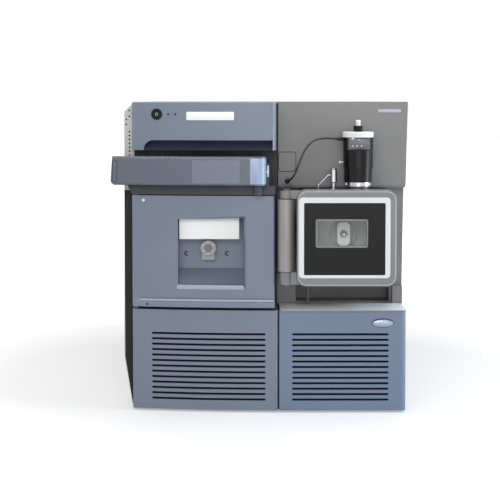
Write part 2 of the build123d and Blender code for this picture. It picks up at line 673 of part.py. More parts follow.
def power_button_ring():
    """Black ring with a closed sleeve that the button slides in."""
    sleeve = BUTTON_LENGTH + BUTTON_TRAVEL + 3
    part = on_bow(BUTTON_X, BUTTON_Z, RING_RADIUS, 0, RING_PROUD)
    part += on_bow(BUTTON_X, BUTTON_Z, RING_SLEEVE_RADIUS, sleeve, 1)
    bore = BUTTON_RADIUS + BUTTON_CLEARANCE
    depth = BUTTON_LENGTH - BUTTON_PROUD + BUTTON_TRAVEL + 0.4
    return part - on_bow(BUTTON_X, BUTTON_Z, bore, depth, RING_PROUD + 1)


def power_button():
    part = on_bow(BUTTON_X, BUTTON_Z, BUTTON_RADIUS, BUTTON_LENGTH - BUTTON_PROUD, BUTTON_PROUD)
    return part


def status_lights():
    """Two round light pipes."""
    return [on_bow(x, BUTTON_Z, LIGHT_RADIUS, PANEL_WALL + 2, 0.8) for x in LIGHT_XS]


# ---------------------------------------------------------------- swing arm


def arm_carrier():
    """Dark strip under the arm, with a tapered left end, the barrel for the arm's pin and an upright stop."""
    reach = 10.0
    end = LEFT_HALF_END - 2
    strip = bow_block(LEFT_X - reach, end, CARRIER_BOTTOM, CARRIER_TOP, PANEL_BACK, 1.5, 3, 3)
    taper = Plane.XZ * make_face(
        Polyline(
            (LEFT_X - reach - 1, CARRIER_TOP),
            (LEFT_X - reach, CARRIER_TOP),
            (LEFT_X, CARRIER_BOTTOM),
            (LEFT_X, CARRIER_BOTTOM - 1),
            (LEFT_X - reach - 1, CARRIER_BOTTOM - 1),
            close=True,
        )
    )
    strip -= Pos(0, PANEL_BACK + 1, 0) * extrude(taper, 2 * PANEL_BACK)
    barrel = ARM_PIN_RADIUS + BARREL_WALL
    strip += upright(barrel, ARM_PIN_X, ARM_PIN_Y, CARRIER_BOTTOM, CARRIER_TOP)
    back = bow_y(ARM_PIN_X) + 8
    strip += box(ARM_PIN_X - barrel, ARM_PIN_X + barrel, ARM_PIN_Y, back, CARRIER_BOTTOM, CARRIER_TOP - 5)
    stop = ARM_PIN_X + ARM_THICKNESS / 2 + ARM_STOP_GAP
    strip += box(stop, stop + 6, ARM_PIN_Y + 14, PANEL_BACK, CARRIER_TOP - 1, CARRIER_TOP + ARM_STOP_HEIGHT)
    return strip - upright(ARM_PIN_RADIUS, ARM_PIN_X, ARM_PIN_Y, CARRIER_BOTTOM - 1, CARRIER_TOP + 1)


def arm_end():
    """What is cut off the arm's free end: a lean toward the top and a chamfer at the foot."""
    return Plane.XZ * make_face(
        Polyline(
            (ARM_LEFT_X - 20, ARM_BOTTOM - 5),
            (ARM_LEFT_X + ARM_END_CHAMFER * 1.5, ARM_BOTTOM - 5),
            (ARM_LEFT_X, ARM_BOTTOM + ARM_END_CHAMFER - 2),
            (ARM_LEFT_X + ARM_END_SLANT, ARM_TOP + 5),
            (ARM_LEFT_X - 20, ARM_TOP + 5),
            close=True,
        )
    )


def swing_arm():
    """Bowed bar that ends in an upright hinge barrel."""
    bar = bow_band(ARM_LEFT_X, ARM_PIN_X, ARM_BOTTOM, ARM_TOP, ARM_PROUD, ARM_PROUD - ARM_THICKNESS)
    ends = [e for e in bar.edges().filter_by(Axis.Z) if e.center().X < ARM_LEFT_X + 1]
    bar = fillet(ends, 7)
    bar = front_round(bar, ARM_TOP, 5.0)
    bar = front_round(bar, ARM_BOTTOM, 5.0)
    bar -= Pos(0, PANEL_BACK, 0) * extrude(arm_end(), 2 * PANEL_BACK)
    bar += upright(ARM_THICKNESS / 2, ARM_PIN_X, ARM_PIN_Y, ARM_BOTTOM, ARM_TOP)
    depth = ARM_BOTTOM + ARM_PIN_ENGAGEMENT + 1
    return bar - upright(ARM_PIN_RADIUS + RUNNING_CLEARANCE, ARM_PIN_X, ARM_PIN_Y, ARM_BOTTOM - 1, depth)


# ---------------------------------------------------------------- fluidics door


def window_cut():
    """Window with bevelled edges that open toward the front."""
    front = bow_y(WINDOW_X - WINDOW_WIDTH / 2) + 1
    shape = Rectangle(WINDOW_WIDTH, WINDOW_HEIGHT)
    through = Pos(WINDOW_X, front + DOOR_WALL * 2, WINDOW_Z) * extrude(Plane.XZ * shape, DOOR_WALL * 4)
    wide = Rectangle(WINDOW_WIDTH + 2 * WINDOW_BEVEL, WINDOW_HEIGHT + 2 * WINDOW_BEVEL)
    mouth = loft(
        [
            Plane.XZ.offset(-bow_y(WINDOW_X) - DOOR_WALL) * shape,
            Plane.XZ.offset(-bow_y(WINDOW_X) + DOOR_WALL) * wide,
        ]
    )
    return through + Pos(WINDOW_X, 0, WINDOW_Z) * mouth


def fluidics_door():
    """Bowed door with a bevelled window, a flared foot and two hinge knuckles inside its left edge."""
    door = bow_shell(LEFT_X, DOOR_RIGHT_X, DOOR_BOTTOM, DOOR_TOP, DOOR_WALL, DOOR_BACK, 3, 5)
    foot = DOOR_BOTTOM + LIP_HEIGHT
    section = [(-1, foot), (LIP_PROUD, foot - 9), (LIP_PROUD, DOOR_BOTTOM), (-1, DOOR_BOTTOM)]
    door += bow_sweep(section, LEFT_X + 4, DOOR_RIGHT_X)
    door -= box(LEFT_X - 20, LEFT_X, -20, PANEL_BACK, DOOR_BOTTOM, DOOR_TOP)
    door -= window_cut()
    for level in (DOOR_BOTTOM, DOOR_TOP - 2 * DOOR_PIN_LENGTH):
        door += upright(DOOR_PIN_INSET - 1, DOOR_PIN_X, DOOR_PIN_Y, level, level + 2 * DOOR_PIN_LENGTH)
    bore = DOOR_PIN_RADIUS + RUNNING_CLEARANCE
    door -= upright(bore, DOOR_PIN_X, DOOR_PIN_Y, DOOR_BOTTOM - 1, DOOR_BOTTOM + DOOR_PIN_LENGTH)
    door -= upright(bore, DOOR_PIN_X, DOOR_PIN_Y, DOOR_TOP - DOOR_PIN_LENGTH, DOOR_TOP + 1)
    return door


def door_pin(low, high, bracket_bottom):
    """Hinge pin on a bracket that reaches forward from the bulkhead."""
    pin = upright(DOOR_PIN_RADIUS, DOOR_PIN_X, DOOR_PIN_Y, low, high)
    top = bracket_bottom + 2
    return pin + box(DOOR_PIN_X - 5, DOOR_PIN_X + 5, DOOR_PIN_Y, PANEL_BACK, bracket_bottom, top)


def fluidics_tray():
    """Fixed tray behind the door's window, with a sloping ledge at its foot."""
    x0 = WINDOW_X - WINDOW_WIDTH / 2 - TRAY_MARGIN
    x1 = WINDOW_X + WINDOW_WIDTH / 2 + TRAY_MARGIN
    z0 = WINDOW_Z - WINDOW_HEIGHT / 2 - TRAY_MARGIN
    z1 = WINDOW_Z + WINDOW_HEIGHT / 2 + TRAY_MARGIN
    front = bow_y(x0) + DOOR_WALL + TRAY_GAP
    back = TRAY_BACK
    shell = box(x0, x1, front, back, z0, z1)
    wall = TRAY_WALL
    shell -= box(x0 + wall, x1 - wall, front - 1, back - wall, z0 + wall, z1 - wall)
    foot = z0 + TRAY_MARGIN
    slope = Plane.YZ * make_face(
        Polyline((front, z0), (back, z0), (back, foot + LEDGE_RISE), (front, foot), close=True)
    )
    shell += Pos(x0, 0, 0) * extrude(slope, x1 - x0)
    for x in (x0 + 12, x1 - 12):
        shell += box(x - 6, x + 6, back - 1, PANEL_BACK, WINDOW_Z - 20, WINDOW_Z + 20)
    return shell - along_y(VALVE_RADIUS, VALVE_X, VALVE_Z, front, PANEL_BACK)


def valve_body():
    """Selector valve: a stator with tube ports round a central bore, on its drive behind the bulkhead."""
    back = TRAY_BACK - TRAY_WALL
    body = along_y(VALVE_RADIUS, VALVE_X, VALVE_Z, back - VALVE_LENGTH, PANEL_BACK + 60)
    front = back - VALVE_LENGTH
    body -= along_y(ROTOR_RADIUS + RUNNING_CLEARANCE, VALVE_X, VALVE_Z, front - 1, front + ROTOR_LENGTH)
    for i in range(VALVE_PORTS):
        turn = radians(360 / VALVE_PORTS * (i + 0.5))
        x = VALVE_X + PORT_CIRCLE * cos(turn)
        z = VALVE_Z + PORT_CIRCLE * sin(turn)
        body -= along_y(1.6, x, z, front - 1, front + 8)
    return body


def valve_rotor():
    """Turning core of the selector valve, with a flat to read its position by."""
    back = TRAY_BACK - TRAY_WALL
    front = back - VALVE_LENGTH
    rotor = along_y(ROTOR_RADIUS, VALVE_X, VALVE_Z, front - 4, front + ROTOR_LENGTH - 0.5)
    flat = VALVE_Z + ROTOR_RADIUS - 2.5
    return rotor - box(VALVE_X - 20, VALVE_X + 20, front - 5, front - 0.5, flat, VALVE_Z + 20)


# ---------------------------------------------------------------- upper right cover and source recess


def upper_right_cover():
    """Flat cover behind the probe, with the cable socket's hole and a shallow access cover outline."""
    x0 = RIGHT_HALF_START + 2
    low = UPPER_COVER_BOTTOM
    high = HEIGHT - SHEET
    right = RIGHT_X + RIGHT_BULGE
    outline = Polyline((x0, low), (right - SURROUND_PROUD, low), (right, high), (x0, high), close=True)
    cover = Pos(0, FASCIA_Y + PANEL_WALL, 0) * extrude(Plane.XZ * make_face(outline), PANEL_WALL)
    cover -= along_y(SOCKET_RADIUS - 3, SOCKET_X, SOCKET_Z, FASCIA_Y - 1, FASCIA_Y + PANEL_WALL + 1)
    right = x0 + ACCESS_WIDTH
    low += ACCESS_RISE
    high = low + ACCESS_HEIGHT
    groove = front_slab(x0 - 20, right, low, high, FASCIA_Y - 1, FASCIA_Y + 0.8, 8)
    groove -= front_slab(x0 - 22, right - 1.4, low + 1.4, high - 1.4, FASCIA_Y - 2, FASCIA_Y + 2, 7)
    return cover - groove


def recess_ledge():
    """Flat ledge in front of the recess, over the lower right panel."""
    left = RIGHT_PANEL_START
    front = 2.0
    plan = Pos((left + RIGHT_X) / 2, (RECESS_Y + front) / 2) * Rectangle(RIGHT_X - left, RECESS_Y - front)
    plan = fillet(plan.vertices().sort_by_distance((RIGHT_X, front, 0))[0], RIGHT_CORNER_ROUND - front)
    return Pos(0, 0, LOWER_PANEL_TOP - LEDGE_THICKNESS) * extrude(plan, LEDGE_THICKNESS)


def source_surround():
    """The recess's moulding: ledge, back wall, top flange, corner blocks and the cavity under the source."""
    x0 = RIGHT_HALF_START
    right = RIGHT_X + SURROUND_PROUD
    foot = right - SURROUND_TAPER
    low = LOWER_PANEL_TOP
    high = UPPER_COVER_BOTTOM
    outline = Polyline((x0, low), (foot, low), (right, high), (x0, high), close=True)
    part = Pos(0, RECESS_Y + PANEL_WALL, 0) * extrude(Plane.XZ * make_face(outline), PANEL_WALL)
    part += recess_ledge()
    part += box(x0, foot, RECESS_Y - LEDGE_COVE, RECESS_Y, low - 1, low + LEDGE_COVE)
    part += box(x0 + 2, right, FASCIA_Y + PANEL_WALL, RECESS_Y + 1, high - PANEL_WALL, high)
    front = RECESS_Y - BLOCK_DEPTH
    part += box(x0, x0 + LEFT_BLOCK_WIDTH, front, RECESS_Y + 1, low, low + LEFT_BLOCK_HEIGHT)
    part += box(foot - RIGHT_BLOCK_WIDTH, foot, front, RECESS_Y + 1, low, low + RIGHT_BLOCK_HEIGHT)
    deep = RECESS_Y + CAVITY_DEPTH
    left = SOURCE_LEFT - 0.5
    end = min(SOURCE_LEFT + SOURCE_WIDTH + 0.5, foot)
    roof = LOWER_PANEL_TOP + SOURCE_RISE + PANEL_WALL
    part += box(left, end, RECESS_Y + 1, deep + SHEET, low, roof)
    part -= box(left + SHEET, end - SHEET, RECESS_Y - 1, deep, low + SHEET, roof - SHEET)
    return part - along_y(ORIFICE_RADIUS + 2, SOURCE_X, SOURCE_Z, RECESS_Y - 1, RECESS_Y + PANEL_WALL + 1)


def source_housing():
    """Rounded enclosure round the ion source, open at the front, with the probe's bore in its roof."""
    x0 = SOURCE_X - SOURCE_WIDTH / 2 + HOUSING_INSET
    x1 = SOURCE_X + SOURCE_WIDTH / 2 - HOUSING_INSET
    z0 = SOURCE_Z - SOURCE_HEIGHT / 2 + HOUSING_INSET
    wall = HOUSING_WALL
    outer = front_slab(x0, x1, z0, HOUSING_TOP, HOUSING_FRONT, RECESS_Y, SOURCE_ROUND - HOUSING_INSET)
    top = HOUSING_TOP - wall
    front = HOUSING_FRONT - 1
    inner = front_slab(x0 + wall, x1 - wall, z0 + wall, top, front, RECESS_Y - wall, SOURCE_ROUND - wall)
    shell = outer - inner
    bore = ORIFICE_RADIUS + RUNNING_CLEARANCE
    shell -= along_y(bore, SOURCE_X, SOURCE_Z, RECESS_Y - 2 * wall, RECESS_Y + 1)
    return shell - upright(NOZZLE_RADIUS + 1, PROBE_X, PROBE_Y, HOUSING_TOP - 2 * wall, HOUSING_TOP + 1)


# ---------------------------------------------------------------- source door and its hinge


def source_door_frame():
    """Cast door frame with a stepped recess for trim and panel, and two lugs that reach to the hinge pin."""
    x0 = SOURCE_X - SOURCE_WIDTH / 2
    x1 = SOURCE_X + SOURCE_WIDTH / 2
    z0 = SOURCE_Z - SOURCE_HEIGHT / 2
    z1 = SOURCE_Z + SOURCE_HEIGHT / 2
    back = SOURCE_FRONT + SOURCE_DOOR_DEPTH
    frame = front_slab(x0, x1, z0, z1, SOURCE_FRONT, back, SOURCE_ROUND)
    rim = frame.edges().filter_by(lambda e: abs(e.center().Y - SOURCE_FRONT) < 0.1)
    frame = fillet(rim, 2.5)
    lower_lug = (HINGE_BOTTOM, HINGE_BOTTOM + BOTTOM_LUG_HEIGHT)
    upper_lug = (HINGE_TOP - TOP_LUG_HEIGHT, HINGE_TOP)
    for low, high in (lower_lug, upper_lug):
        frame += upright(LUG_RADIUS, HINGE_X, HINGE_Y, low, high)
        frame += box(HINGE_X, x0 + 12, HINGE_Y - LUG_THICKNESS, HINGE_Y + LUG_THICKNESS, low, high)
    seat = SOURCE_FRONT + TRIM_DEPTH
    front = SOURCE_FRONT - 1
    frame -= front_slab(TRIM_X0, TRIM_X1, TRIM_Z0, TRIM_Z1, front, seat, TRIM_ROUND)
    frame -= front_slab(PANEL_X0 + 6, PANEL_X1 - 6, PANEL_Z0 + 6, PANEL_Z1 - 6, front, back + 1, TRIM_ROUND)
    bore = HINGE_PIN_RADIUS + RUNNING_CLEARANCE
    return frame - upright(bore, HINGE_X, HINGE_Y, HINGE_BOTTOM - 1, HINGE_TOP + 1)


def source_door_trim():
    """Bright trim inside the frame."""
    front = SOURCE_FRONT - 0.6
    trim = front_slab(TRIM_X0, TRIM_X1, TRIM_Z0, TRIM_Z1, front, SOURCE_FRONT + TRIM_DEPTH, TRIM_ROUND)
    back = SOURCE_FRONT + TRIM_DEPTH + 1
    return trim - front_slab(PANEL_X0, PANEL_X1, PANEL_Z0, PANEL_Z1, SOURCE_FRONT - 2, back, PANEL_ROUND)


def pane_slab(margin, y0, y1, rounding):
    """A rounded plate over the viewing pane, larger than it by a margin."""
    half = PANE_WIDTH / 2 + margin
    tall = PANE_HEIGHT / 2 + margin
    return front_slab(PANE_X - half, PANE_X + half, PANE_Z - tall, PANE_Z + tall, y0, y1, rounding)


def source_door_panel():
    """Black panel with the viewing pane's cut-out."""
    front = SOURCE_FRONT + 0.6
    back = SOURCE_FRONT + TRIM_DEPTH
    panel = front_slab(PANEL_X0, PANEL_X1, PANEL_Z0, PANEL_Z1, front, back, PANEL_ROUND)
    return panel - pane_slab(0, front - 1, back + 1, PANE_ROUND)


def source_pane():
    """Clear pane behind the black panel."""
    front = SOURCE_FRONT + TRIM_DEPTH
    return pane_slab(8, front, front + PANE_THICKNESS, 10)


def source_hinge_barrel():
    """Fixed upright barrel, carried from the recess's back wall by a web."""
    low = HINGE_BOTTOM + BOTTOM_LUG_HEIGHT + HINGE_WASHER
    high = HINGE_TOP - TOP_LUG_HEIGHT - HINGE_WASHER
    barrel = upright(HINGE_BARREL_RADIUS, HINGE_X, HINGE_Y, low, high)
    barrel += box(HINGE_X - 7, HINGE_X + 7, HINGE_Y, RECESS_Y, low, high)
    return barrel - upright(HINGE_PIN_RADIUS, HINGE_X, HINGE_Y, low - 1, high + 1)


def source_hinge_pin():
    """Pin through both lugs, with a head under the lower one and a flat cap over the upper one."""
    pin = upright(HINGE_PIN_RADIUS, HINGE_X, HINGE_Y, HINGE_BOTTOM - 4, HINGE_TOP + 4)
    pin += upright(HINGE_PIN_RADIUS + 4, HINGE_X, HINGE_Y, HINGE_TOP + 0.3, HINGE_TOP + 4)
    return pin + upright(HINGE_PIN_RADIUS + 4, HINGE_X, HINGE_Y, HINGE_BOTTOM - 4, HINGE_BOTTOM - 0.3)


def hinge_pins():
    """The arm's pin, the fluidics door's two and the source door's one."""
    low = DOOR_BOTTOM - DOOR_GAP
    return [
        upright(ARM_PIN_RADIUS, ARM_PIN_X, ARM_PIN_Y, CARRIER_BOTTOM, ARM_BOTTOM + ARM_PIN_ENGAGEMENT),
        door_pin(low, DOOR_BOTTOM + DOOR_PIN_LENGTH - 1, low),
        door_pin(DOOR_TOP - DOOR_PIN_LENGTH + 1, CARRIER_BOTTOM, CARRIER_BOTTOM - 2),
        source_hinge_pin(),
    ]


def pivot_washers():
    """The arm's washer and two pale ones at the ends of the source hinge's barrel."""
    arm = ring(ARM_PIN_RADIUS + BARREL_WALL, ARM_PIN_RADIUS + RUNNING_CLEARANCE, ARM_WASHER_HEIGHT - 0.3)
    hinge = ring(LUG_RADIUS + 2, HINGE_PIN_RADIUS + RUNNING_CLEARANCE, HINGE_WASHER - 0.3)
    low = HINGE_BOTTOM + BOTTOM_LUG_HEIGHT + 0.3
    high = HINGE_TOP - TOP_LUG_HEIGHT - HINGE_WASHER
    return [
        Pos(ARM_PIN_X, ARM_PIN_Y, CARRIER_TOP) * arm,
        Pos(HINGE_X, HINGE_Y, low) * hinge,
        Pos(HINGE_X, HINGE_Y, high) * hinge,
    ]


# ---------------------------------------------------------------- ion source


def ion_block():
    """Round steel block in the recess wall, bolted to the vacuum manifold."""
    block = along_y(ORIFICE_RADIUS, SOURCE_X, SOURCE_Z, RECESS_Y - HOUSING_WALL - 14, RECESS_Y + PANEL_WALL)
    return block - along_y(3, SOURCE_X, SOURCE_Z, RECESS_Y - 40, RECESS_Y + PANEL_WALL + 1)


def cone_holder():
    """White oblong holder for the sampling cone."""
    front = RECESS_Y - HOUSING_WALL - 14
    half = HOLDER_WIDTH / 2
    tall = HOLDER_HEIGHT / 2
    back = front - HOLDER_DEPTH
    holder = front_slab(SOURCE_X - half, SOURCE_X + half, SOURCE_Z - tall, SOURCE_Z + tall, back, front, 12)
    return holder - along_y(CONE_RADIUS, SOURCE_X, SOURCE_Z, back - 1, front + 1)


def sample_cone():
    """Turned sampling cone with a fine orifice at its tip."""
    front = RECESS_Y - HOUSING_WALL - 14
    wide = CONE_RADIUS
    section = Polyline((2.5, 0), (wide, 0), (wide, 16), (2.2, CONE_LENGTH), (0.8, CONE_LENGTH), close=True)
    cone = revolve(make_face(Plane.XZ * section), Axis.Z)
    return Pos(SOURCE_X, front, SOURCE_Z) * Rot(90, 0, 0) * cone


# ---------------------------------------------------------------- probe


def probe_neck():
    """Dark neck on the enclosure's roof, with the nozzle that reaches down inside it."""
    neck = upright(NECK_RADIUS, PROBE_X, PROBE_Y, HOUSING_TOP, NECK_TOP)
    nozzle = upright(NOZZLE_RADIUS, PROBE_X, PROBE_Y, NOZZLE_TIP_Z + 8, HOUSING_TOP + 1)
    tip = Pos(PROBE_X, PROBE_Y, NOZZLE_TIP_Z + 4) * Rot(180, 0, 0) * Cone(NOZZLE_RADIUS, 2.5, 8)
    return neck + nozzle + tip


def probe_clamp_ring():
    """Bright clamp ring with its socket screws."""
    part = upright(CLAMP_RADIUS, PROBE_X, PROBE_Y, NECK_TOP, CLAMP_TOP)
    for i in range(8):
        turn = 2 * pi * (i + 0.5) / 8
        x = PROBE_X + CLAMP_RADIUS * cos(turn)
        y = PROBE_Y + CLAMP_RADIUS * sin(turn)
        part -= upright(3.2, x, y, NECK_TOP + 2, CLAMP_TOP - 1.5)
    return part


def probe_body():
    """Black body, stepped twice: a flat where its plate sits, a narrower foot and the cable's gland."""
    foot = BODY_FOOT_RADIUS
    wide = BODY_RADIUS
    groove = 0.8
    low_step = CLAMP_TOP + STEP_LOW
    high_step = CLAMP_TOP + STEP_HIGH
    section = Polyline(
        (0, CLAMP_TOP),
        (foot, CLAMP_TOP),
        (foot + 1, low_step - 1),
        (foot + 1 - groove, low_step - 1),
        (foot + 1 - groove, low_step + 1),
        (wide - 0.6, low_step + 1),
        (wide - 0.3, high_step - 1),
        (wide - groove, high_step - 1),
        (wide - groove, high_step + 1),
        (wide, high_step + 1),
        (wide, BODY_TOP),
        (0, BODY_TOP),
        close=True,
    )
    body = Pos(PROBE_X, PROBE_Y, 0) * revolve(make_face(Plane.XZ * section), Axis.Z)
    flat = PROBE_Y - sqrt(BODY_RADIUS**2 - PLATE_HALF_WIDTH**2)
    body -= box(PROBE_X - 40, PROBE_X + 40, PROBE_Y - 60, flat, high_step, BODY_TOP + 1)
    end = PROBE_X - BODY_RADIUS - GLAND_LENGTH
    reach = GLAND_LENGTH + 6
    return body + Pos(end + reach / 2, PROBE_Y, GLAND_Z) * Rot(0, 90, 0) * Cylinder(GLAND_RADIUS, reach)


def probe_flange():
    """Pale cap over the body, with the inlet stem's seat."""
    cap = upright(FLANGE_RADIUS, PROBE_X, PROBE_Y, BODY_TOP, FLANGE_TOP)
    cap = chamfer(cap.edges().group_by(Axis.Z)[-1], 1.5)
    return cap - upright(STEM_RADIUS, PROBE_X, PROBE_Y, FLANGE_TOP - STEM_SEAT, FLANGE_TOP + 1)


def probe_knob():
    """Fluted adjuster knob that turns round the inlet's stem."""
    knob = Circle(KNOB_RADIUS) - Circle(STEM_RADIUS + RUNNING_CLEARANCE)
    flutes = 12
    for i in range(flutes):
        turn = 2 * pi * i / flutes
        knob -= Pos((KNOB_RADIUS + 0.6) * cos(turn), (KNOB_RADIUS + 0.6) * sin(turn)) * Circle(1.5)
    return Pos(PROBE_X, PROBE_Y, FLANGE_TOP + 0.3) * extrude(knob, KNOB_HEIGHT - 0.3)


def inlet_fitting():
    """Finger-tight fitting for the sample tube, on a stem that stands in the flange."""
    stem = STEM_RADIUS
    outline = Polyline(
        (0, -KNOB_HEIGHT - STEM_SEAT),
        (stem, -KNOB_HEIGHT - STEM_SEAT),
        (stem, 0.3),
        (5.6, 0.3),
        (5.6, 4),
        (4.6, 4.8),
        (5.6, 5.6),
        (5.6, 11.5),
        (4.2, 13),
        (0, 13),
        close=True,
    )
    return Pos(PROBE_X, PROBE_Y, KNOB_TOP) * revolve(make_face(Plane.XZ * outline), Axis.Z)


def gas_fitting():
    """Upright gas fitting beside the probe, with its soldered capillary bent back to the roof."""
    lower = [(0, 0), (9, 0), (9, 3), (4.2, 4), (4.2, 16)]
    upper = [(7.2, 18), (7.2, 44), (5.5, 48), (0, 48)]
    section = Polyline(*lower, *upper, close=True)
    fitting = Pos(GAS_FITTING_X, PROBE_Y, HOUSING_TOP) * revolve(make_face(Plane.XZ * section), Axis.Z)
    level = HOUSING_TOP + 33
    route = FilletPolyline(
        (GAS_FITTING_X - 6, PROBE_Y, level),
        (GAS_FITTING_X - 12, PROBE_Y, level),
        (GAS_FITTING_X - 34, PROBE_Y, HOUSING_TOP + 10),
        (GAS_FITTING_X - 34, PROBE_Y, HOUSING_TOP),
        radius=4,
    )
    return fitting + sweep(Plane(origin=route @ 0, z_dir=route % 0) * Circle(1.3), path=route)


# ---------------------------------------------------------------- probe cable


def cable_socket():
    """Panel socket with a raised ring."""
    part = along_y(SOCKET_RADIUS, SOCKET_X, SOCKET_Z, FASCIA_Y - SOCKET_PROUD, FASCIA_Y)
    part += along_y(SOCKET_RADIUS - 3, SOCKET_X, SOCKET_Z, FASCIA_Y, FASCIA_Y + PANEL_WALL + 8)
    return part - along_y(PLUG_RADIUS, SOCKET_X, SOCKET_Z, FASCIA_Y - SOCKET_PROUD - 1, FASCIA_Y - 1)


def cable_plug():
    """Round plug with a tapered strain relief."""
    end = FASCIA_Y - 1 - PLUG_LENGTH
    part = along_y(PLUG_RADIUS, SOCKET_X, SOCKET_Z, end + 8, FASCIA_Y - 1)
    relief = Pos(SOCKET_X, end + 4, SOCKET_Z) * Rot(90, 0, 0) * Cone(PLUG_RADIUS - 1, CABLE_RADIUS + 1, 8)
    return part + relief


def cable_route():
    """The cable's chosen points, from the plug to the gland."""
    return [
        (SOCKET_X, FASCIA_Y - 1 - PLUG_LENGTH, SOCKET_Z),
        (SOCKET_X, FASCIA_Y - 1 - PLUG_LENGTH - 28, SOCKET_Z),
        (58.0, 18.0, 524.0),
        (70.0, 16.0, 549.0),
        (84.0, 19.0, 574.0),
        (103.0, 29.0, 595.0),
        (127.0, PROBE_Y, GLAND_Z),
        (PROBE_X - BODY_RADIUS - GLAND_LENGTH, PROBE_Y, GLAND_Z),
    ]


def corner_radii(points):
    """The largest tangent radius that each corner's two runs allow."""
    radii = []
    for a, b, c in zip(points, points[1:], points[2:]):
        before = Vector(*b) - Vector(*a)
        after = Vector(*c) - Vector(*b)
        half_turn = radians(before.get_angle(after)) / 2
        run = min(before.length, after.length)
        radii.append(0.45 * run / (sin(half_turn) / cos(half_turn)))
    return radii


def probe_cable():
    points = cable_route()
    radii = corner_radii(points)
    route = FilletPolyline(*points, radius=radii)
    tube = sweep(Plane(origin=route @ 0, z_dir=route % 0) * Circle(CABLE_RADIUS), path=route)
    print("cable radii", [round(r, 1) for r in radii])
    print("cable volume", round(tube.volume))
    print("section times length", round(pi * CABLE_RADIUS**2 * route.length))
    return tube


# ---------------------------------------------------------------- vacuum system

MANIFOLD_FRONT = RECESS_Y + PANEL_WALL
MANIFOLD_END = DETECTOR_START + DETECTOR_LENGTH + BEAM_GAP
MANIFOLD_X0 = SOURCE_X - MANIFOLD_WIDTH / 2
MANIFOLD_X1 = SOURCE_X + MANIFOLD_WIDTH / 2
INNER_FLOOR = MANIFOLD_FLOOR_Z + MANIFOLD_WALL


def vacuum_manifold():
    """Machined trough, open at the top, with the beam's entrance and one port for each pump."""
    end = MANIFOLD_END
    wall = MANIFOLD_WALL
    trough = box(MANIFOLD_X0, MANIFOLD_X1, MANIFOLD_FRONT, end, MANIFOLD_FLOOR_Z, MANIFOLD_TOP_Z)
    x0 = MANIFOLD_X0 + wall
    x1 = MANIFOLD_X1 - wall
    trough -= box(x0, x1, MANIFOLD_FRONT + wall, end - wall, INNER_FLOOR, MANIFOLD_TOP_Z + 1)
    trough -= along_y(5, SOURCE_X, SOURCE_Z, MANIFOLD_FRONT - 1, MANIFOLD_FRONT + wall + 1)
    for y in PUMP_YS:
        trough -= upright(PUMP_RADIUS - 22, SOURCE_X, y, MANIFOLD_FLOOR_Z - 1, INNER_FLOOR + 1)
    return trough


def manifold_lid():
    top = MANIFOLD_TOP_Z + LID_THICKNESS
    return box(MANIFOLD_X0, MANIFOLD_X1, MANIFOLD_FRONT, MANIFOLD_END, MANIFOLD_TOP_Z, top)


def turbo_pump(y):
    """Turbomolecular pump hung under the manifold, finned round its body."""
    flange = MANIFOLD_FLOOR_Z
    section = Polyline(
        (0, LOWER_PANEL_TOP),
        (PUMP_RADIUS - 14, LOWER_PANEL_TOP),
        (PUMP_RADIUS - 14, flange - 60),
        (PUMP_RADIUS - 6, flange - 60),
        (PUMP_RADIUS - 6, flange - 12),
        (PUMP_RADIUS, flange - 12),
        (PUMP_RADIUS, flange),
        (0, flange),
        close=True,
    )
    pump = revolve(make_face(Plane.XZ * section), Axis.Z)
    return Pos(SOURCE_X, y, 0) * pump


def turbo_pumps():
    return [turbo_pump(y) for y in PUMP_YS]


def ion_guide():
    """Stacked-ring ion guide: thin plates with a bore, on two tie rods and a foot."""
    thick = 3.0
    pitch = (GUIDE_LENGTH - thick) / (GUIDE_RINGS - 1)
    half = GUIDE_SIZE / 2
    x0 = SOURCE_X - half
    x1 = SOURCE_X + half
    end = GUIDE_START + GUIDE_LENGTH
    foot = SOURCE_Z - half + 1
    guide = box(SOURCE_X - 9, SOURCE_X + 9, GUIDE_START, GUIDE_START + thick, INNER_FLOOR, foot)
    for i in range(GUIDE_RINGS):
        front = GUIDE_START + pitch * i
        guide += box(x0, x1, front, front + thick, SOURCE_Z - half, SOURCE_Z + half)
    for x in (x0 + 5, x1 - 5):
        guide += box(x - 2.5, x + 2.5, GUIDE_START, end, SOURCE_Z + half - 8, SOURCE_Z + half - 3)
    return guide - along_y(7, SOURCE_X, SOURCE_Z, GUIDE_START - 1, end + 1)


def rod_places():
    """Where the four rods of a quadrupole lie round the beam."""
    return [
        (SOURCE_X + ROD_CIRCLE * cos(turn), SOURCE_Z + ROD_CIRCLE * sin(turn))
        for turn in (pi / 4, 3 * pi / 4, 5 * pi / 4, 7 * pi / 4)
    ]


def quadrupole_rods():
    """Four parallel rods in each of the two quadrupoles."""
    starts = (FRONT_QUAD_START, REAR_QUAD_START)
    return [along_y(ROD_RADIUS, x, z, start, start + ROD_LENGTH) for start in starts for x, z in rod_places()]


def rod_collar(y):
    """Ceramic collar round the four rods, standing on the manifold's floor."""
    collar = along_y(COLLAR_RADIUS, SOURCE_X, SOURCE_Z, y, y + COLLAR_LENGTH)
    collar += box(SOURCE_X - 16, SOURCE_X + 16, y, y + COLLAR_LENGTH, INNER_FLOOR, SOURCE_Z - 15)
    collar -= along_y(ROD_CIRCLE - ROD_RADIUS + 1, SOURCE_X, SOURCE_Z, y - 1, y + COLLAR_LENGTH + 1)
    for x, z in rod_places():
        collar -= along_y(ROD_RADIUS, x, z, y - 1, y + COLLAR_LENGTH + 1)
    return collar


def rod_collars():
    return [
        rod_collar(start + offset)
        for start in (FRONT_QUAD_START, REAR_QUAD_START)
        for offset in (15, ROD_LENGTH - 15 - COLLAR_LENGTH)
    ]


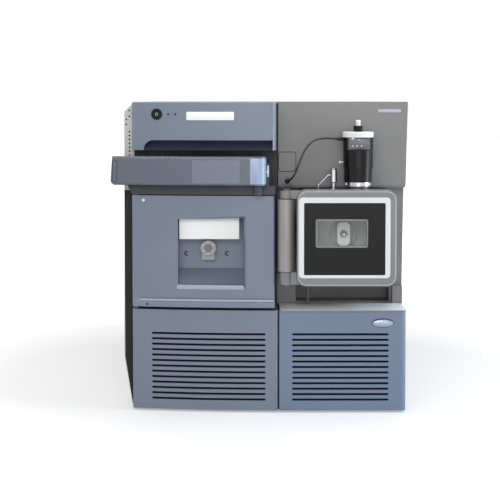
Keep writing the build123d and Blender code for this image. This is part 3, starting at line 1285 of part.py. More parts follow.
def collision_cell():
    """Closed gas cell with an aperture at each end."""
    half = CELL_WIDTH / 2
    inner = half - 4
    end = CELL_START + CELL_LENGTH
    cell = box(SOURCE_X - half, SOURCE_X + half, CELL_START, end, INNER_FLOOR, SOURCE_Z + half)
    low = SOURCE_Z - inner
    cell -= box(SOURCE_X - inner, SOURCE_X + inner, CELL_START + 4, end - 4, low, SOURCE_Z + inner)
    return cell - along_y(4, SOURCE_X, SOURCE_Z, CELL_START - 1, end + 1)


def detector():
    """Photomultiplier detector with its conversion dynode's housing."""
    end = DETECTOR_START + DETECTOR_LENGTH
    part = along_y(20, SOURCE_X, SOURCE_Z, DETECTOR_START, end)
    part += box(SOURCE_X - 12, SOURCE_X + 12, DETECTOR_START + 8, end - 10, INNER_FLOOR, SOURCE_Z)
    return part - along_y(6, SOURCE_X, SOURCE_Z, DETECTOR_START - 1, DETECTOR_START + 15)


# ---------------------------------------------------------------- electronics, cooling and rear fittings


def power_supply():
    """Power supply in the left of the tray."""
    low = FOOT_HEIGHT + SHEET
    x0 = 20 - CHASSIS_X
    return box(x0, x0 + SUPPLY_WIDTH, SUPPLY_START, SUPPLY_START + SUPPLY_LENGTH, low, low + SUPPLY_HEIGHT)


def electronics_module():
    """Closed electronics module on the left shelf, finned along its top."""
    low = LOWER_PANEL_TOP
    top = low + MODULE_HEIGHT
    x0 = MODULE_INSET - CHASSIS_X
    end = MODULE_START + MODULE_LENGTH
    module = box(x0, x0 + MODULE_WIDTH, MODULE_START, end, low, top)
    for i in range(FIN_COUNT):
        x = x0 + (MODULE_WIDTH - FIN_PITCH * (FIN_COUNT - 0.5)) / 2 + FIN_PITCH * i
        module -= box(x, x + FIN_PITCH / 2, MODULE_START - 1, end + 1, top - FIN_HEIGHT, top + 1)
    return module


def fan_housing():
    """Square fan frame with a bearing hub on three arms."""
    x = FAN_X
    y1 = DEPTH - SHEET
    y0 = y1 - FAN_THICKNESS
    half = FAN_SIZE / 2
    frame = front_slab(x - half, x + half, FAN_Z - half, FAN_Z + half, y0, y1, 4)
    frame -= along_y(FAN_BORE, x, FAN_Z, y0 - 1, y1 + 1)
    frame += along_y(FAN_HUB, x, FAN_Z, y0, y0 + 4)
    for i in range(3):
        arm = Pos(FAN_BORE / 2 + 2, 0, 0) * Box(FAN_BORE, 4, 4)
        frame += Pos(x, y0 + 2, FAN_Z) * Rot(0, 120 * i + 90, 0) * arm
    return frame - along_y(FAN_SHAFT_RADIUS + RUNNING_CLEARANCE, x, FAN_Z, y0 - 1, y0 + 5)


def fan_rotor():
    """Hub with pitched blades and a shaft."""
    x = FAN_X
    y1 = DEPTH - SHEET
    y0 = y1 - FAN_THICKNESS
    rotor = along_y(FAN_HUB, x, FAN_Z, y0 + 5, y1 - 2)
    rotor += along_y(FAN_SHAFT_RADIUS, x, FAN_Z, y0 + 0.5, y0 + 6)
    for i in range(FAN_BLADES):
        blade = Pos(FAN_HUB + 8, 0, 0) * Rot(35, 0, 0) * Box(24, 2, 20)
        rotor += Pos(x, (y0 + 5 + y1 - 2) / 2, FAN_Z) * Rot(0, 360 / FAN_BLADES * i, 0) * blade
    sweep_room = along_y(FAN_BLADE_RADIUS, x, FAN_Z, y0 + 0.5, y1 - 1)
    return rotor & sweep_room


def backing_port():
    """Vacuum hose port from the pumps to the rear, with a flange at its end."""
    x = BACKING_PORT_X
    z = BACKING_PORT_Z
    end = DEPTH + PORT_REACH
    start = PUMP_YS[1] + PUMP_RADIUS - 14
    tube = along_y(BACKING_PORT_RADIUS + BACKING_PORT_WALL, x, z, start, end)
    tube += along_y(BACKING_PORT_RADIUS + 8, x, z, end - 5, end)
    return tube - along_y(BACKING_PORT_RADIUS, x, z, end - 60, end + 1)


def gas_inlet(x):
    """Push-in gas fitting in the rear panel."""
    fitting = along_y(GAS_PORT_RADIUS + 5, x, GAS_PORT_Z, DEPTH, DEPTH + GAS_PORT_LENGTH)
    fitting += along_y(GAS_PORT_RADIUS + 3, x, GAS_PORT_Z, DEPTH - 14, DEPTH + 1)
    return fitting - along_y(GAS_PORT_RADIUS, x, GAS_PORT_Z, DEPTH - 2, DEPTH + GAS_PORT_LENGTH + 1)


def gas_inlets():
    return [gas_inlet(x) for x in GAS_PORT_XS]


def mains_slab(margin, y0, y1):
    """A plate in line with the mains inlet, larger than it by a margin."""
    half = MAINS_WIDTH / 2 + margin
    tall = MAINS_HEIGHT / 2 + margin
    return box(MAINS_X - half, MAINS_X + half, y0, y1, MAINS_Z - tall, MAINS_Z + tall)


def mains_opening():
    return mains_slab(0, DEPTH - SHEET - 1, DEPTH + 1)


def mains_inlet():
    """Recessed three-pin mains inlet."""
    body = mains_slab(0, DEPTH - 28, DEPTH) + mains_slab(6, DEPTH, DEPTH + 2)
    body -= mains_slab(-3, DEPTH - 20, DEPTH + 3)
    for across, up in ((-7, -3), (7, -3), (0, 4)):
        x = MAINS_X + across
        z = MAINS_Z + up
        body += box(x - 1, x + 1, DEPTH - 21, DEPTH - 4, z - 2, z + 2)
    return body


# ---------------------------------------------------------------- every node

PIECES = {
    "base_tray": base_tray,
    "feet": feet,
    "centre_divider": centre_divider,
    "front_bulkhead": front_bulkhead,
    "shelves": shelves,
    "top_cover": top_cover,
    "left_side_cover": left_side_cover,
    "right_side_cover": right_side_cover,
    "rear_panel": rear_panel,
    "lower_left_grille": lower_left_grille,
    "lower_right_grille": lower_right_grille,
    "air_filters": air_filters,
    "upper_left_fascia": upper_left_fascia,
    "power_button_ring": power_button_ring,
    "power_button": power_button,
    "status_lights": status_lights,
    "arm_carrier": arm_carrier,
    "swing_arm": swing_arm,
    "hinge_pins": hinge_pins,
    "pivot_washers": pivot_washers,
    "fluidics_door": fluidics_door,
    "fluidics_tray": fluidics_tray,
    "valve_body": valve_body,
    "valve_rotor": valve_rotor,
    "upper_right_cover": upper_right_cover,
    "source_surround": source_surround,
    "source_housing": source_housing,
    "source_door_frame": source_door_frame,
    "source_door_trim": source_door_trim,
    "source_door_panel": source_door_panel,
    "source_pane": source_pane,
    "source_hinge_barrel": source_hinge_barrel,
    "ion_block": ion_block,
    "cone_holder": cone_holder,
    "sample_cone": sample_cone,
    "probe_neck": probe_neck,
    "probe_clamp_ring": probe_clamp_ring,
    "probe_body": probe_body,
    "probe_flange": probe_flange,
    "probe_knob": probe_knob,
    "inlet_fitting": inlet_fitting,
    "gas_fitting": gas_fitting,
    "cable_socket": cable_socket,
    "cable_plug": cable_plug,
    "probe_cable": probe_cable,
    "vacuum_manifold": vacuum_manifold,
    "manifold_lid": manifold_lid,
    "turbo_pumps": turbo_pumps,
    "ion_guide": ion_guide,
    "quadrupole_rods": quadrupole_rods,
    "rod_collars": rod_collars,
    "collision_cell": collision_cell,
    "detector": detector,
    "power_supply": power_supply,
    "electronics_module": electronics_module,
    "fan_housing": fan_housing,
    "fan_rotor": fan_rotor,
    "backing_port": backing_port,
    "gas_inlets": gas_inlets,
    "mains_inlet": mains_inlet,
}


def place(shape):
    """Moves a finished piece so that the origin is under the middle of the instrument."""
    return Pos(-ORIGIN_X, -ORIGIN_Y, 0) * shape


def write(name, made):
    """Writes one node, which is one piece or a group of like pieces."""
    solids = made if isinstance(made, list) else [made]
    moved = [place(solid) for solid in solids]
    export_step(moved[0] if len(moved) == 1 else Compound(children=moved), f"parts/{name}.step")


for name, make in PIECES.items():
    write(name, make())
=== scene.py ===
# %% [markdown]
# # A benchtop mass spectrometer
# The solid pieces of the instrument arrive ready made, each at its place. This lesson gives every one of
# them its finish, adds the small pieces that a draughtsman leaves out, and sets up the studio round it.

# %% Load the fixed frame
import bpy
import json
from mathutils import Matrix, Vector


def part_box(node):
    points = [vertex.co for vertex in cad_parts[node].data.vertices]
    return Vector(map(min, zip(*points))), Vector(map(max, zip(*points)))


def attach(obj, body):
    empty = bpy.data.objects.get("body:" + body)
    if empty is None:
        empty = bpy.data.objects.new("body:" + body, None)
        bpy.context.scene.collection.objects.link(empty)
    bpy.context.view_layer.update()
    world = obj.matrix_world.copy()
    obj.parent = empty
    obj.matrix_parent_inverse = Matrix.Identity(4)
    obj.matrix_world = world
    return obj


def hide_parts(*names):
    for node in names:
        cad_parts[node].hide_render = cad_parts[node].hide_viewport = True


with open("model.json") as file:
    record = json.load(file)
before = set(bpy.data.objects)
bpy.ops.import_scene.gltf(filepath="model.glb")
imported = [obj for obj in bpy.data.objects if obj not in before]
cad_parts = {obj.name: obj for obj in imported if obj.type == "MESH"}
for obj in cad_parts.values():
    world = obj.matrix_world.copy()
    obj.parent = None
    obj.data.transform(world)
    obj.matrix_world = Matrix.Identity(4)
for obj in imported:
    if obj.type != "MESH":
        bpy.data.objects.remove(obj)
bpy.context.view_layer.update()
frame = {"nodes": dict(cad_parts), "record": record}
nodes = frame["nodes"]
print("pieces from the model:", len(nodes))

# %% [markdown]
# ## Where things are
# The front panels are the pieces that one looks at and measures from, so all places below are in
# millimetres from the middle of the front panels: x to the right, y to the back from the foremost panel,
# z up from the bench. The upper panels are bowed: they lie on a tall cylinder whose axis is far behind,
# and bow() gives their depth.

# %% Places in millimetres
import json
import math
import bmesh
import bpy
from mathutils import Vector

left_grille, right_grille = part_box("lower_left_grille"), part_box("lower_right_grille")
MIDDLE_X = (left_grille[0].x + right_grille[1].x) / 2
FRONT_Y = min(left_grille[0].y, right_grille[0].y)
BOW_RADIUS = 1800
BOW_MIDDLE = 16


def at(x, y, z):
    """A place in millimetres, as a point in metres."""
    return Vector((MIDDLE_X + x / 1000, FRONT_Y + y / 1000, z / 1000))


def bow(x, proud=0.0):
    """How deep the bowed front lies at x."""
    return BOW_RADIUS - math.sqrt((BOW_RADIUS + proud) ** 2 - (x - BOW_MIDDLE) ** 2)


def bow_turn(x):
    """How far the bow's surface is turned to the left at x, in radians."""
    return math.asin((x - BOW_MIDDLE) / BOW_RADIUS)


print("middle of the front:", round(MIDDLE_X, 4), round(FRONT_Y, 4))

# %% [markdown]
# ## The camera
# The camera stands three metres in front, level with the top of the instrument. It looks down a little,
# and a small lens shift does the rest, so that upright edges stay upright.

# %% Camera
EYE = at(-41.8, -3000, 690.8)
LOOK_DOWN = math.radians(3.14)
LENS = 98.8
SHIFT = -0.15
camera_data = bpy.data.cameras.new("camera")
camera_data.sensor_width = 36
camera_data.lens = LENS
camera_data.shift_y = SHIFT
camera_data.clip_end = 100
camera = bpy.data.objects.new("camera", camera_data)
camera.location = EYE
camera.rotation_euler = (math.pi / 2 - LOOK_DOWN, 0, 0)
bpy.context.scene.collection.objects.link(camera)
bpy.context.scene.camera = camera

# %% [markdown]
# ## The probe's cable
# A thin sensor lead leaves the plug under the small access cover, rises in one arch and goes into the
# gland on the probe's body. It is a free cable, so it is a smooth NURBS curve with a round bevel.

# %% Cable
ROUTE = [
    (42, 63, 508.5),
    (42, 35, 508.5),
    (56, 18, 523),
    (67, 16, 552),
    (79, 19, 582),
    (98, 29, 602),
    (126, 45, 606.5),
    (154.6, 45, 604),
]
LEAD_WIDTH = 0.0044
curve = bpy.data.curves.new("probe_lead", "CURVE")
curve.dimensions = "3D"
curve.bevel_depth = LEAD_WIDTH / 2
curve.bevel_resolution = 4
curve.resolution_u = 16
curve.use_fill_caps = True
spline = curve.splines.new("NURBS")
spline.points.add(len(ROUTE) - 1)
for point, place in zip(spline.points, ROUTE):
    point.co = (*at(*place), 1)
spline.order_u = 3
spline.use_endpoint_u = True
lead = bpy.data.objects.new("probe_lead", curve)
bpy.context.scene.collection.objects.link(lead)

# %% [markdown]
# ## Making a finish
# Nothing on a real instrument has one flat colour. Moulded paint has a fine orange-peel grain and cloudy
# patches, metal shows its machining, rubber is blotchy. One recipe covers them: a large soft noise mixes
# two close colours, a second one varies the gloss, and a fine one gives the grain as a bump. The numbers
# that are the same all over go on the shader's own sockets.


# %% The recipe for a finish
def linear(value):
    """A display value from 0 to 255, as the shader wants it."""
    value = value / 255
    return value / 12.92 if value <= 0.04045 else ((value + 0.055) / 1.055) ** 2.4


def tint(red, green, blue):
    return (linear(red), linear(green), linear(blue), 1)


def noise(tree, place, scale, detail, roughness=0.5):
    """A noise texture on the object's own coordinates."""
    texture = tree.nodes.new("ShaderNodeTexNoise")
    texture.inputs["Scale"].default_value = scale
    texture.inputs["Detail"].default_value = detail
    texture.inputs["Roughness"].default_value = roughness
    tree.links.new(place, texture.inputs["Vector"])
    return texture.outputs["Fac"]


def spread(tree, value, low, high):
    """Turns a noise value into a number between two others."""
    ranged = tree.nodes.new("ShaderNodeMapRange")
    ranged.inputs["From Min"].default_value = 0.3
    ranged.inputs["From Max"].default_value = 0.7
    ranged.inputs["To Min"].default_value = low
    ranged.inputs["To Max"].default_value = high
    tree.links.new(value, ranged.inputs["Value"])
    return ranged.outputs["Result"]


def finish(name, colour, second, rough, grain, depth, cloud=6.0, stretch=(1, 1, 1), **sockets):
    """A material: two close colours, a range of roughness, and a grain of that size and depth in millimetres."""
    material = bpy.data.materials.new(name)
    material.use_nodes = True
    tree = material.node_tree
    shader = tree.nodes["Principled BSDF"]
    where = tree.nodes.new("ShaderNodeTexCoord")
    mapping = tree.nodes.new("ShaderNodeMapping")
    mapping.inputs["Scale"].default_value = stretch
    tree.links.new(where.outputs["Object"], mapping.inputs["Vector"])
    place = mapping.outputs["Vector"]
    mix = tree.nodes.new("ShaderNodeMix")
    mix.data_type = "RGBA"
    mix.inputs["A"].default_value = tint(*colour)
    mix.inputs["B"].default_value = tint(*second)
    tree.links.new(spread(tree, noise(tree, place, cloud, 4), 0, 1), mix.inputs["Factor"])
    tree.links.new(mix.outputs["Result"], shader.inputs["Base Color"])
    gloss = spread(tree, noise(tree, place, cloud * 3, 1), rough[0], rough[1])
    tree.links.new(gloss, shader.inputs["Roughness"])
    bump = tree.nodes.new("ShaderNodeBump")
    bump.inputs["Strength"].default_value = 0.6
    bump.inputs["Distance"].default_value = depth / 1000
    tree.links.new(noise(tree, place, 1000 / grain, 2), bump.inputs["Height"])
    tree.links.new(bump.outputs["Normal"], shader.inputs["Normal"])
    for socket, value in sockets.items():
        shader.inputs[socket.replace("_", " ")].default_value = value
    return material


# %% [markdown]
# ## The finishes
# The blue panels are injection moulded and painted: satin, with a fine grain. The grey ones are the same
# in warm grey. The side covers are powder coated sheet in cream, which is coarser. The foam, and the dark
# strips that paint the shade in the slots and in the scoop, give back hardly any light, so their specular
# level is low.

# %% Painted and moulded finishes
F = {}
F["blue_panel"] = finish("blue_paint", (113, 123, 140), (117, 127, 144), (0.30, 0.35), 0.9, 0.005)
# Painted shade: the arm is the same paint as the panels, made darker here for the shade on it.
F["arm_paint"] = finish("deep_blue_paint", (89, 97, 109), (93, 101, 113), (0.28, 0.33), 0.9, 0.005)
# Painted light: the lower right grille's cooler blue stands in for the cool light from the right.
F["cool_paint"] = finish("cool_blue_paint", (105, 121, 144), (109, 125, 148), (0.30, 0.35), 0.9, 0.005)
# Painted highlight: the pale sleeve on the arm's barrel.
F["barrel_paint"] = finish(
    "pale_blue_enamel", (150, 169, 194), (157, 176, 201), (0.22, 0.28), 0.9, 0.004
)
F["grey_panel"] = finish("grey_paint", (122, 121, 120), (126, 125, 124), (0.38, 0.44), 0.9, 0.008)
F["pale_cover"] = finish("cream_powder_coat", (196, 195, 189), (201, 200, 194), (0.48, 0.58), 1.4, 0.03)
F["dark_plastic"] = finish(
    "dark_moulding", (38, 40, 45), (45, 47, 52), (0.42, 0.55), 0.8, 0.04, Specular_IOR_Level=0.25
)
F["door_frame_grey"] = finish(
    "cast_grey_paint", (121, 122, 123), (127, 128, 129), (0.30, 0.38), 0.8, 0.01
)
F["black_panel"] = finish(
    "black_lacquer", (22, 23, 23), (26, 27, 27), (0.2, 0.26), 2.0, 0.003, Specular_IOR_Level=0.15
)
F["probe_black"] = finish(
    "black_anodised", (13, 13, 15), (17, 17, 19), (0.2, 0.27), 0.6, 0.005, Specular_IOR_Level=0.2
)
F["white_plastic"] = finish("white_moulding", (228, 228, 226), (236, 236, 234), (0.3, 0.42), 0.8, 0.01)
F["nylon"] = finish("natural_nylon", (206, 204, 196), (218, 216, 208), (0.35, 0.5), 0.7, 0.02)
F["ceramic"] = finish("white_ceramic", (226, 222, 212), (236, 233, 224), (0.25, 0.4), 0.5, 0.01)
F["rubber"] = finish("black_rubber", (32, 32, 33), (42, 42, 43), (0.65, 0.85), 0.7, 0.05)
F["cable_black"] = finish("lead_sheath", (24, 24, 25), (34, 34, 35), (0.4, 0.55), 1.2, 0.03)
F["foam"] = finish("open_foam", (15, 16, 19), (26, 27, 32), (0.85, 0.98), 1.6, 1.2, cloud=160)
F["light_grey"] = finish("light_grey_moulding", (196, 199, 201), (204, 207, 209), (0.3, 0.4), 0.9, 0.02)
# Painted shade: a dark liner for the deep shade inside the finger scoop.
F["scoop_grip"] = finish(
    "soft_touch_grip", (38, 44, 56), (45, 51, 63), (0.5, 0.65), 0.6, 0.03, Specular_IOR_Level=0.15
)
# Painted shade: the dark strip on the left cover's return below the arm.
F["shadow_paint"] = finish(
    "dark_return_paint", (33, 33, 32), (40, 40, 38), (0.55, 0.7), 1.2, 0.04, Specular_IOR_Level=0.2
)
F["button_black"] = finish(
    "button_black", (19, 20, 22), (25, 26, 28), (0.3, 0.4), 0.8, 0.01, Specular_IOR_Level=0.15
)
F["dull_block"] = finish("blasted_block", (165, 165, 161), (173, 173, 169), (0.6, 0.75), 0.6, 0.02)
# Painted light: the ledge plate is pale to stand in for the light on the ledge.
F["ledge_paint"] = finish("pale_ledge_paint", (226, 229, 231), (231, 234, 236), (0.35, 0.45), 0.9, 0.01)
F["valve_grey"] = finish("grey_resin", (158, 158, 160), (168, 168, 170), (0.4, 0.5), 0.6, 0.02)
# Painted highlight: pale beads on the window's sill and on the lip's crest.
F["edge_paint"] = finish("worn_edge_paint", (160, 168, 184), (166, 174, 190), (0.26, 0.32), 0.9, 0.004)
# Painted shade: dark strips that make the grille slots look dark inside.
F["felt"] = finish(
    "black_felt", (13, 14, 17), (19, 20, 24), (0.85, 0.95), 0.5, 0.05, Specular_IOR_Level=0.1
)
F["cone_cream"] = finish("cream_ceramic", (246, 245, 236), (250, 249, 242), (0.3, 0.4), 0.5, 0.01)
F["carrier_paint"] = finish(
    "carrier_paint", (62, 64, 68), (68, 70, 74), (0.4, 0.5), 0.8, 0.02, Specular_IOR_Level=0.25
)
F["lead_grey"] = finish("grey_pipe", (96, 99, 103), (106, 109, 113), (0.4, 0.5), 0.6, 0.01)
F["status_lens"] = finish("lamp_lens", (40, 50, 78), (48, 58, 88), (0.12, 0.2), 0.8, 0.004)
print("moulded finishes:", len(F))

# %% [markdown]
# The trim round the source door is a bright lacquer and not a bare metal. Metals differ in their grain.
# Machined aluminium has fine lines one way, which a noise gives when its coordinates are squeezed along
# that way.

# %% Metals and glass
F["chassis_metal"] = finish(
    "zinc_plated_sheet", (150, 152, 154), (168, 170, 172), (0.35, 0.5), 1.5, 0.01, cloud=30,
    Metallic=1.0,
)
F["bright_trim"] = finish(
    "satin_bright_trim", (224, 225, 227), (229, 230, 232), (0.26, 0.34), 0.5, 0.004,
    Specular_IOR_Level=0.35,
)
F["hinge_metal"] = finish(
    "satin_hinge", (137, 131, 130), (145, 139, 138), (0.3, 0.42), 0.7, 0.02, Metallic=0.35
)
F["steel"] = finish(
    "polished_steel", (178, 180, 183), (190, 192, 195), (0.2, 0.28), 0.4, 0.003, Metallic=1.0
)
F["aluminium"] = finish(
    "machined_aluminium", (196, 198, 201), (212, 214, 216), (0.26, 0.38), 0.5, 0.006, stretch=(1, 1, 9),
    Metallic=1.0,
)


def glass(name):
    """Clear pane: it bends light for the eye, and lets lamp light through without a dark shadow."""
    material = finish(
        name, (250, 252, 252), (246, 250, 250), (0.01, 0.03), 3.0, 0.001, Transmission_Weight=1.0,
        IOR=1.45,
    )
    tree = material.node_tree
    path = tree.nodes.new("ShaderNodeLightPath")
    clear = tree.nodes.new("ShaderNodeBsdfTransparent")
    mix = tree.nodes.new("ShaderNodeMixShader")
    tree.links.new(path.outputs["Is Shadow Ray"], mix.inputs["Fac"])
    tree.links.new(tree.nodes["Principled BSDF"].outputs["BSDF"], mix.inputs[1])
    tree.links.new(clear.outputs["BSDF"], mix.inputs[2])
    tree.links.new(mix.outputs["Shader"], tree.nodes["Material Output"].inputs["Surface"])
    return material


F["clear_pane"] = glass("clear_pane")
F["white_enamel"] = finish("white_enamel", (250, 250, 249), (253, 253, 252), (0.3, 0.4), 1.2, 0.006)
F["patch"] = finish("grey_film", (112, 118, 130), (117, 123, 135), (0.34, 0.42), 0.9, 0.01)
F["bare_plate"] = finish("bare_plate", (172, 180, 192), (182, 190, 201), (0.25, 0.35), 0.7, 0.006)
# Painted reflection: the badge's satin metal is darkened and tinted blue for what it reflects.
F["badge_metal"] = finish(
    "cool_satin_metal", (146, 155, 170), (156, 165, 179), (0.2, 0.3), 0.5, 0.006, Metallic=0.7
)
F["dark_steel"] = finish(
    "blackened_steel", (74, 76, 80), (88, 90, 94), (0.3, 0.42), 0.5, 0.01, Metallic=0.8
)
F["contact_plate"] = finish(
    "grey_anodised", (92, 95, 101), (100, 103, 109), (0.26, 0.36), 0.5, 0.006, stretch=(1, 1, 9),
    Metallic=0.5,
)
print("all finishes:", len(F))

# %% [markdown]
# ## Dressing the model's own pieces
# The model's record says which finish each piece takes, so one loop gives them all their material. A few
# pieces get a finish of their own: the arm's darker blue is painted shade, the lower right grille's
# cooler blue is painted cool light from the right, and the button, the washers and the pieces of the valve
# and of the source chamber differ from their slot.

# %% Finish every solid piece
OWN = {
    "swing_arm": "arm_paint",
    "arm_carrier": "carrier_paint",
    "lower_right_grille": "cool_paint",
    "hinge_pins": "dark_steel",
    "power_button": "button_black",
    "power_button_ring": "button_black",
    "pivot_washers": "dark_plastic",
    "valve_body": "valve_grey",
    "valve_rotor": "contact_plate",
    "ion_block": "dull_block",
    "cone_holder": "cone_cream",
    "cable_socket": "contact_plate",
    "probe_flange": "white_plastic",
    "probe_neck": "dark_steel",
}
for part in frame["record"]["subparts"]:
    node = nodes[part["node"]]
    node.data.materials.clear()
    node.data.materials.append(F[OWN.get(part["node"], part["material_slot"])])
print("dressed:", len(nodes))

# %% [markdown]
# ## Tools for the small pieces
# The small pieces start from a primitive and are shaped in edit mode. Everything is deselected first,
# and faces or edges are then picked in code, by where they are. settle() puts the finished piece's place
# into its mesh, so that its object sits at the origin, and gives it its finish and the body that it
# moves with.


# %% Picking, editing and settling
def edit(piece, kind="FACE"):
    """Opens one piece in edit mode."""
    bpy.ops.object.select_all(action="DESELECT")
    piece.select_set(True)
    bpy.context.view_layer.objects.active = piece
    bpy.ops.object.mode_set(mode="EDIT")
    bpy.ops.mesh.select_mode(type=kind)


def pick(piece, test, kind="FACE"):
    """Selects what passes a test, in edit mode."""
    bpy.ops.mesh.select_mode(type=kind)
    bpy.ops.mesh.select_all(action="DESELECT")
    mesh = bmesh.from_edit_mesh(piece.data)
    for item in {"FACE": mesh.faces, "EDGE": mesh.edges, "VERT": mesh.verts}[kind]:
        if test(item):
            item.select_set(True)
    bmesh.update_edit_mesh(piece.data)


def close(piece):
    """Turns all faces outward and leaves edit mode."""
    bpy.ops.mesh.select_all(action="SELECT")
    bpy.ops.mesh.remove_doubles(threshold=0.00001)
    bpy.ops.mesh.normals_make_consistent(inside=False)
    bpy.ops.object.mode_set(mode="OBJECT")


def soften(piece, width, segments=2, angle=35):
    """Rounds the sharp edges with a bevel modifier, which is then applied."""
    bpy.context.view_layer.objects.active = piece
    bevel = piece.modifiers.new("soft edges", "BEVEL")
    bevel.width = width / 1000
    bevel.segments = segments
    bevel.limit_method = "ANGLE"
    bevel.angle_limit = math.radians(angle)
    bevel.use_clamp_overlap = True
    bpy.ops.object.modifier_apply(modifier=bevel.name)


def settle(piece, name, look, body, smooth=35):
    """Names a piece, puts its place into its mesh, and gives it its finish and its body."""
    bpy.ops.object.select_all(action="DESELECT")
    piece.select_set(True)
    bpy.context.view_layer.objects.active = piece
    bpy.ops.object.transform_apply(location=True, rotation=True, scale=True)
    bpy.ops.object.shade_smooth_by_angle(angle=math.radians(smooth))
    piece.name = name
    piece.data.name = name
    piece.data.materials.clear()
    piece.data.materials.append(F[look])
    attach(piece, body)
    return piece


# %% [markdown]
# ## Thin plates
# Label plates, the oval badge's bed and the arm's panels are all thin plates with round corners that
# face the front. A plane is stood up, its corners are rounded with a vertex bevel, and it is extruded. A
# plate on the bowed panels is then cut into narrow strips and pushed back to follow the bow.


# %% A plate that faces the front
def plate(x0, x1, z0, z1, y, thick, corner, rim=0.2, proud=None):
    """A plate whose back lies at depth y, or on the bow where proud says how far out."""
    bpy.ops.object.select_all(action="DESELECT")
    middle = ((x0 + x1) / 2, 0 if proud is not None else y, (z0 + z1) / 2)
    bpy.ops.mesh.primitive_plane_add(size=1, location=at(*middle), rotation=(math.pi / 2, 0, 0))
    piece = bpy.context.active_object
    piece.scale = ((x1 - x0) / 1000, (z1 - z0) / 1000, 1)
    bpy.ops.object.transform_apply(location=True, rotation=True, scale=True)
    edit(piece, "VERT")
    bpy.ops.mesh.select_all(action="SELECT")
    bpy.ops.mesh.bevel(offset=corner / 1000, segments=5, affect="VERTICES")
    pick(piece, lambda face: True)
    bpy.ops.mesh.extrude_region_move(TRANSFORM_OT_translate={"value": (0, -thick / 1000, 0)})
    close(piece)
    if rim:
        soften(piece, rim)
    if proud is not None:
        strips = max(4, int((x1 - x0) / 8))
        edit(piece)
        for i in range(1, strips):
            bpy.ops.mesh.select_all(action="SELECT")
            cut = at(x0 + (x1 - x0) * i / strips, 0, 0)
            bpy.ops.mesh.bisect(plane_co=cut, plane_no=(1, 0, 0))
        bpy.ops.object.mode_set(mode="OBJECT")
        for vertex in piece.data.vertices:
            vertex.co.y += bow((vertex.co.x - MIDDLE_X) * 1000, proud) / 1000
    return piece


# %% [markdown]
# ## Rims
# A gasket, a bead or the dark line round an access cover is a plate with its middle taken out: both big
# faces are inset, and a bridge between the two inner faces opens the hole.


# %% A rim that faces the front
def rim(x0, x1, z0, z1, y, thick, corner, width, soft=0.0):
    """A frame of the given width, from a plate with its middle bridged away."""
    piece = plate(x0, x1, z0, z1, y, thick, corner, 0)
    edit(piece)
    pick(piece, lambda face: abs(face.normal.y) > 0.9)
    bpy.ops.mesh.inset(thickness=width / 1000)
    inner = (x1 - x0 - 2 * width) * (z1 - z0 - 2 * width) * 0.8 / 1e6
    pick(piece, lambda face: abs(face.normal.y) > 0.9 and face.calc_area() > inner)
    bpy.ops.mesh.bridge_edge_loops()
    close(piece)
    if soft:
        soften(piece, soft)
    return piece


# %% [markdown]
# ## Turned pieces
# Screws, knobs, pipes and boots are turned on a lathe. A round face is extruded step by step along its
# axis and resized at each step, from a list of radii and heights. With six sides it makes a hexagon.


# %% A turned piece
def turned(place, direction, profile, sides=24):
    """Shapes (radius, height) steps in millimetres along a direction, from a place."""
    bpy.ops.object.select_all(action="DESELECT")
    radius, height = profile[0]
    bpy.ops.mesh.primitive_circle_add(
        vertices=sides, radius=radius / 1000, fill_type="NGON", location=(0, 0, height / 1000)
    )
    piece = bpy.context.active_object
    bpy.ops.object.transform_apply(location=True, rotation=True, scale=True)
    edit(piece)
    bpy.ops.mesh.select_all(action="SELECT")
    for wider, higher in profile[1:]:
        rise = (higher - height) / 1000
        bpy.ops.mesh.extrude_region_move(TRANSFORM_OT_translate={"value": (0, 0, rise)})
        ratio = wider / radius
        bpy.ops.transform.resize(value=(ratio, ratio, 1), center_override=(0, 0, higher / 1000))
        radius, height = wider, higher
    close(piece)
    piece.rotation_mode = "QUATERNION"
    piece.rotation_quaternion = Vector((0, 0, 1)).rotation_difference(Vector(direction))
    piece.location = at(*place)
    return piece


def joined(pieces):
    """Several meshes as one piece."""
    bpy.ops.object.select_all(action="DESELECT")
    for piece in pieces:
        piece.select_set(True)
    bpy.context.view_layer.objects.active = pieces[0]
    bpy.ops.object.join()
    return pieces[0]


# %% [markdown]
# ## The cable's finish and boot
# The lead keeps to the route of the solid one, which it replaces. A soft tapered boot protects it where
# it leaves the plug, and a shorter one where it enters the gland.

# %% Dress the cable
curve.materials.append(F["cable_black"])
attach(lead, "cabinet")
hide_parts("probe_cable")
boot = turned(
    (42, 64, 508.5), (0, -1, 0),
    [
        (5.2, 0), (5.2, 2), (4.2, 4), (4.2, 5), (3.9, 5.4), (3.9, 7), (4.1, 7.4), (4.1, 9), (3.6, 9.4),
        (3.6, 11), (3.3, 15), (2.9, 20),
    ],
)
settle(boot, "plug_boot", "rubber", "cabinet")
gland_boot = turned((147, 45, 604), (1, 0, 0), [(2.6, 0), (3.0, 3), (3.3, 6), (3.3, 8)])
settle(gland_boot, "gland_boot", "rubber", "cabinet")

# %% [markdown]
# ## The upper left fascia
# The name plate is left bare: a thin white enamelled plate on the bow. The power button carries the
# usual sign, a broken ring with an upright bar, cut from a torus and a small rounded bar.

# %% Name plate and power sign
settle(
    plate(-181.5, -77, 646, 664.3, 0, 0.9, 2.2, 0.25, proud=0.1), "fascia_plate", "white_enamel",
    "cabinet",
)


def open_ring(radius, thickness, gap):
    """A ring with one stretch taken out: gap says which of its points go."""
    bpy.ops.object.select_all(action="DESELECT")
    bpy.ops.mesh.primitive_torus_add(
        major_radius=radius / 1000, minor_radius=thickness / 1000, major_segments=32, minor_segments=8
    )
    piece = bpy.context.active_object
    edit(piece, "VERT")
    pick(piece, gap, "VERT")
    bpy.ops.mesh.delete(type="VERT")
    bpy.ops.mesh.select_all(action="SELECT")
    bpy.ops.mesh.fill_holes(sides=0)
    close(piece)
    return piece


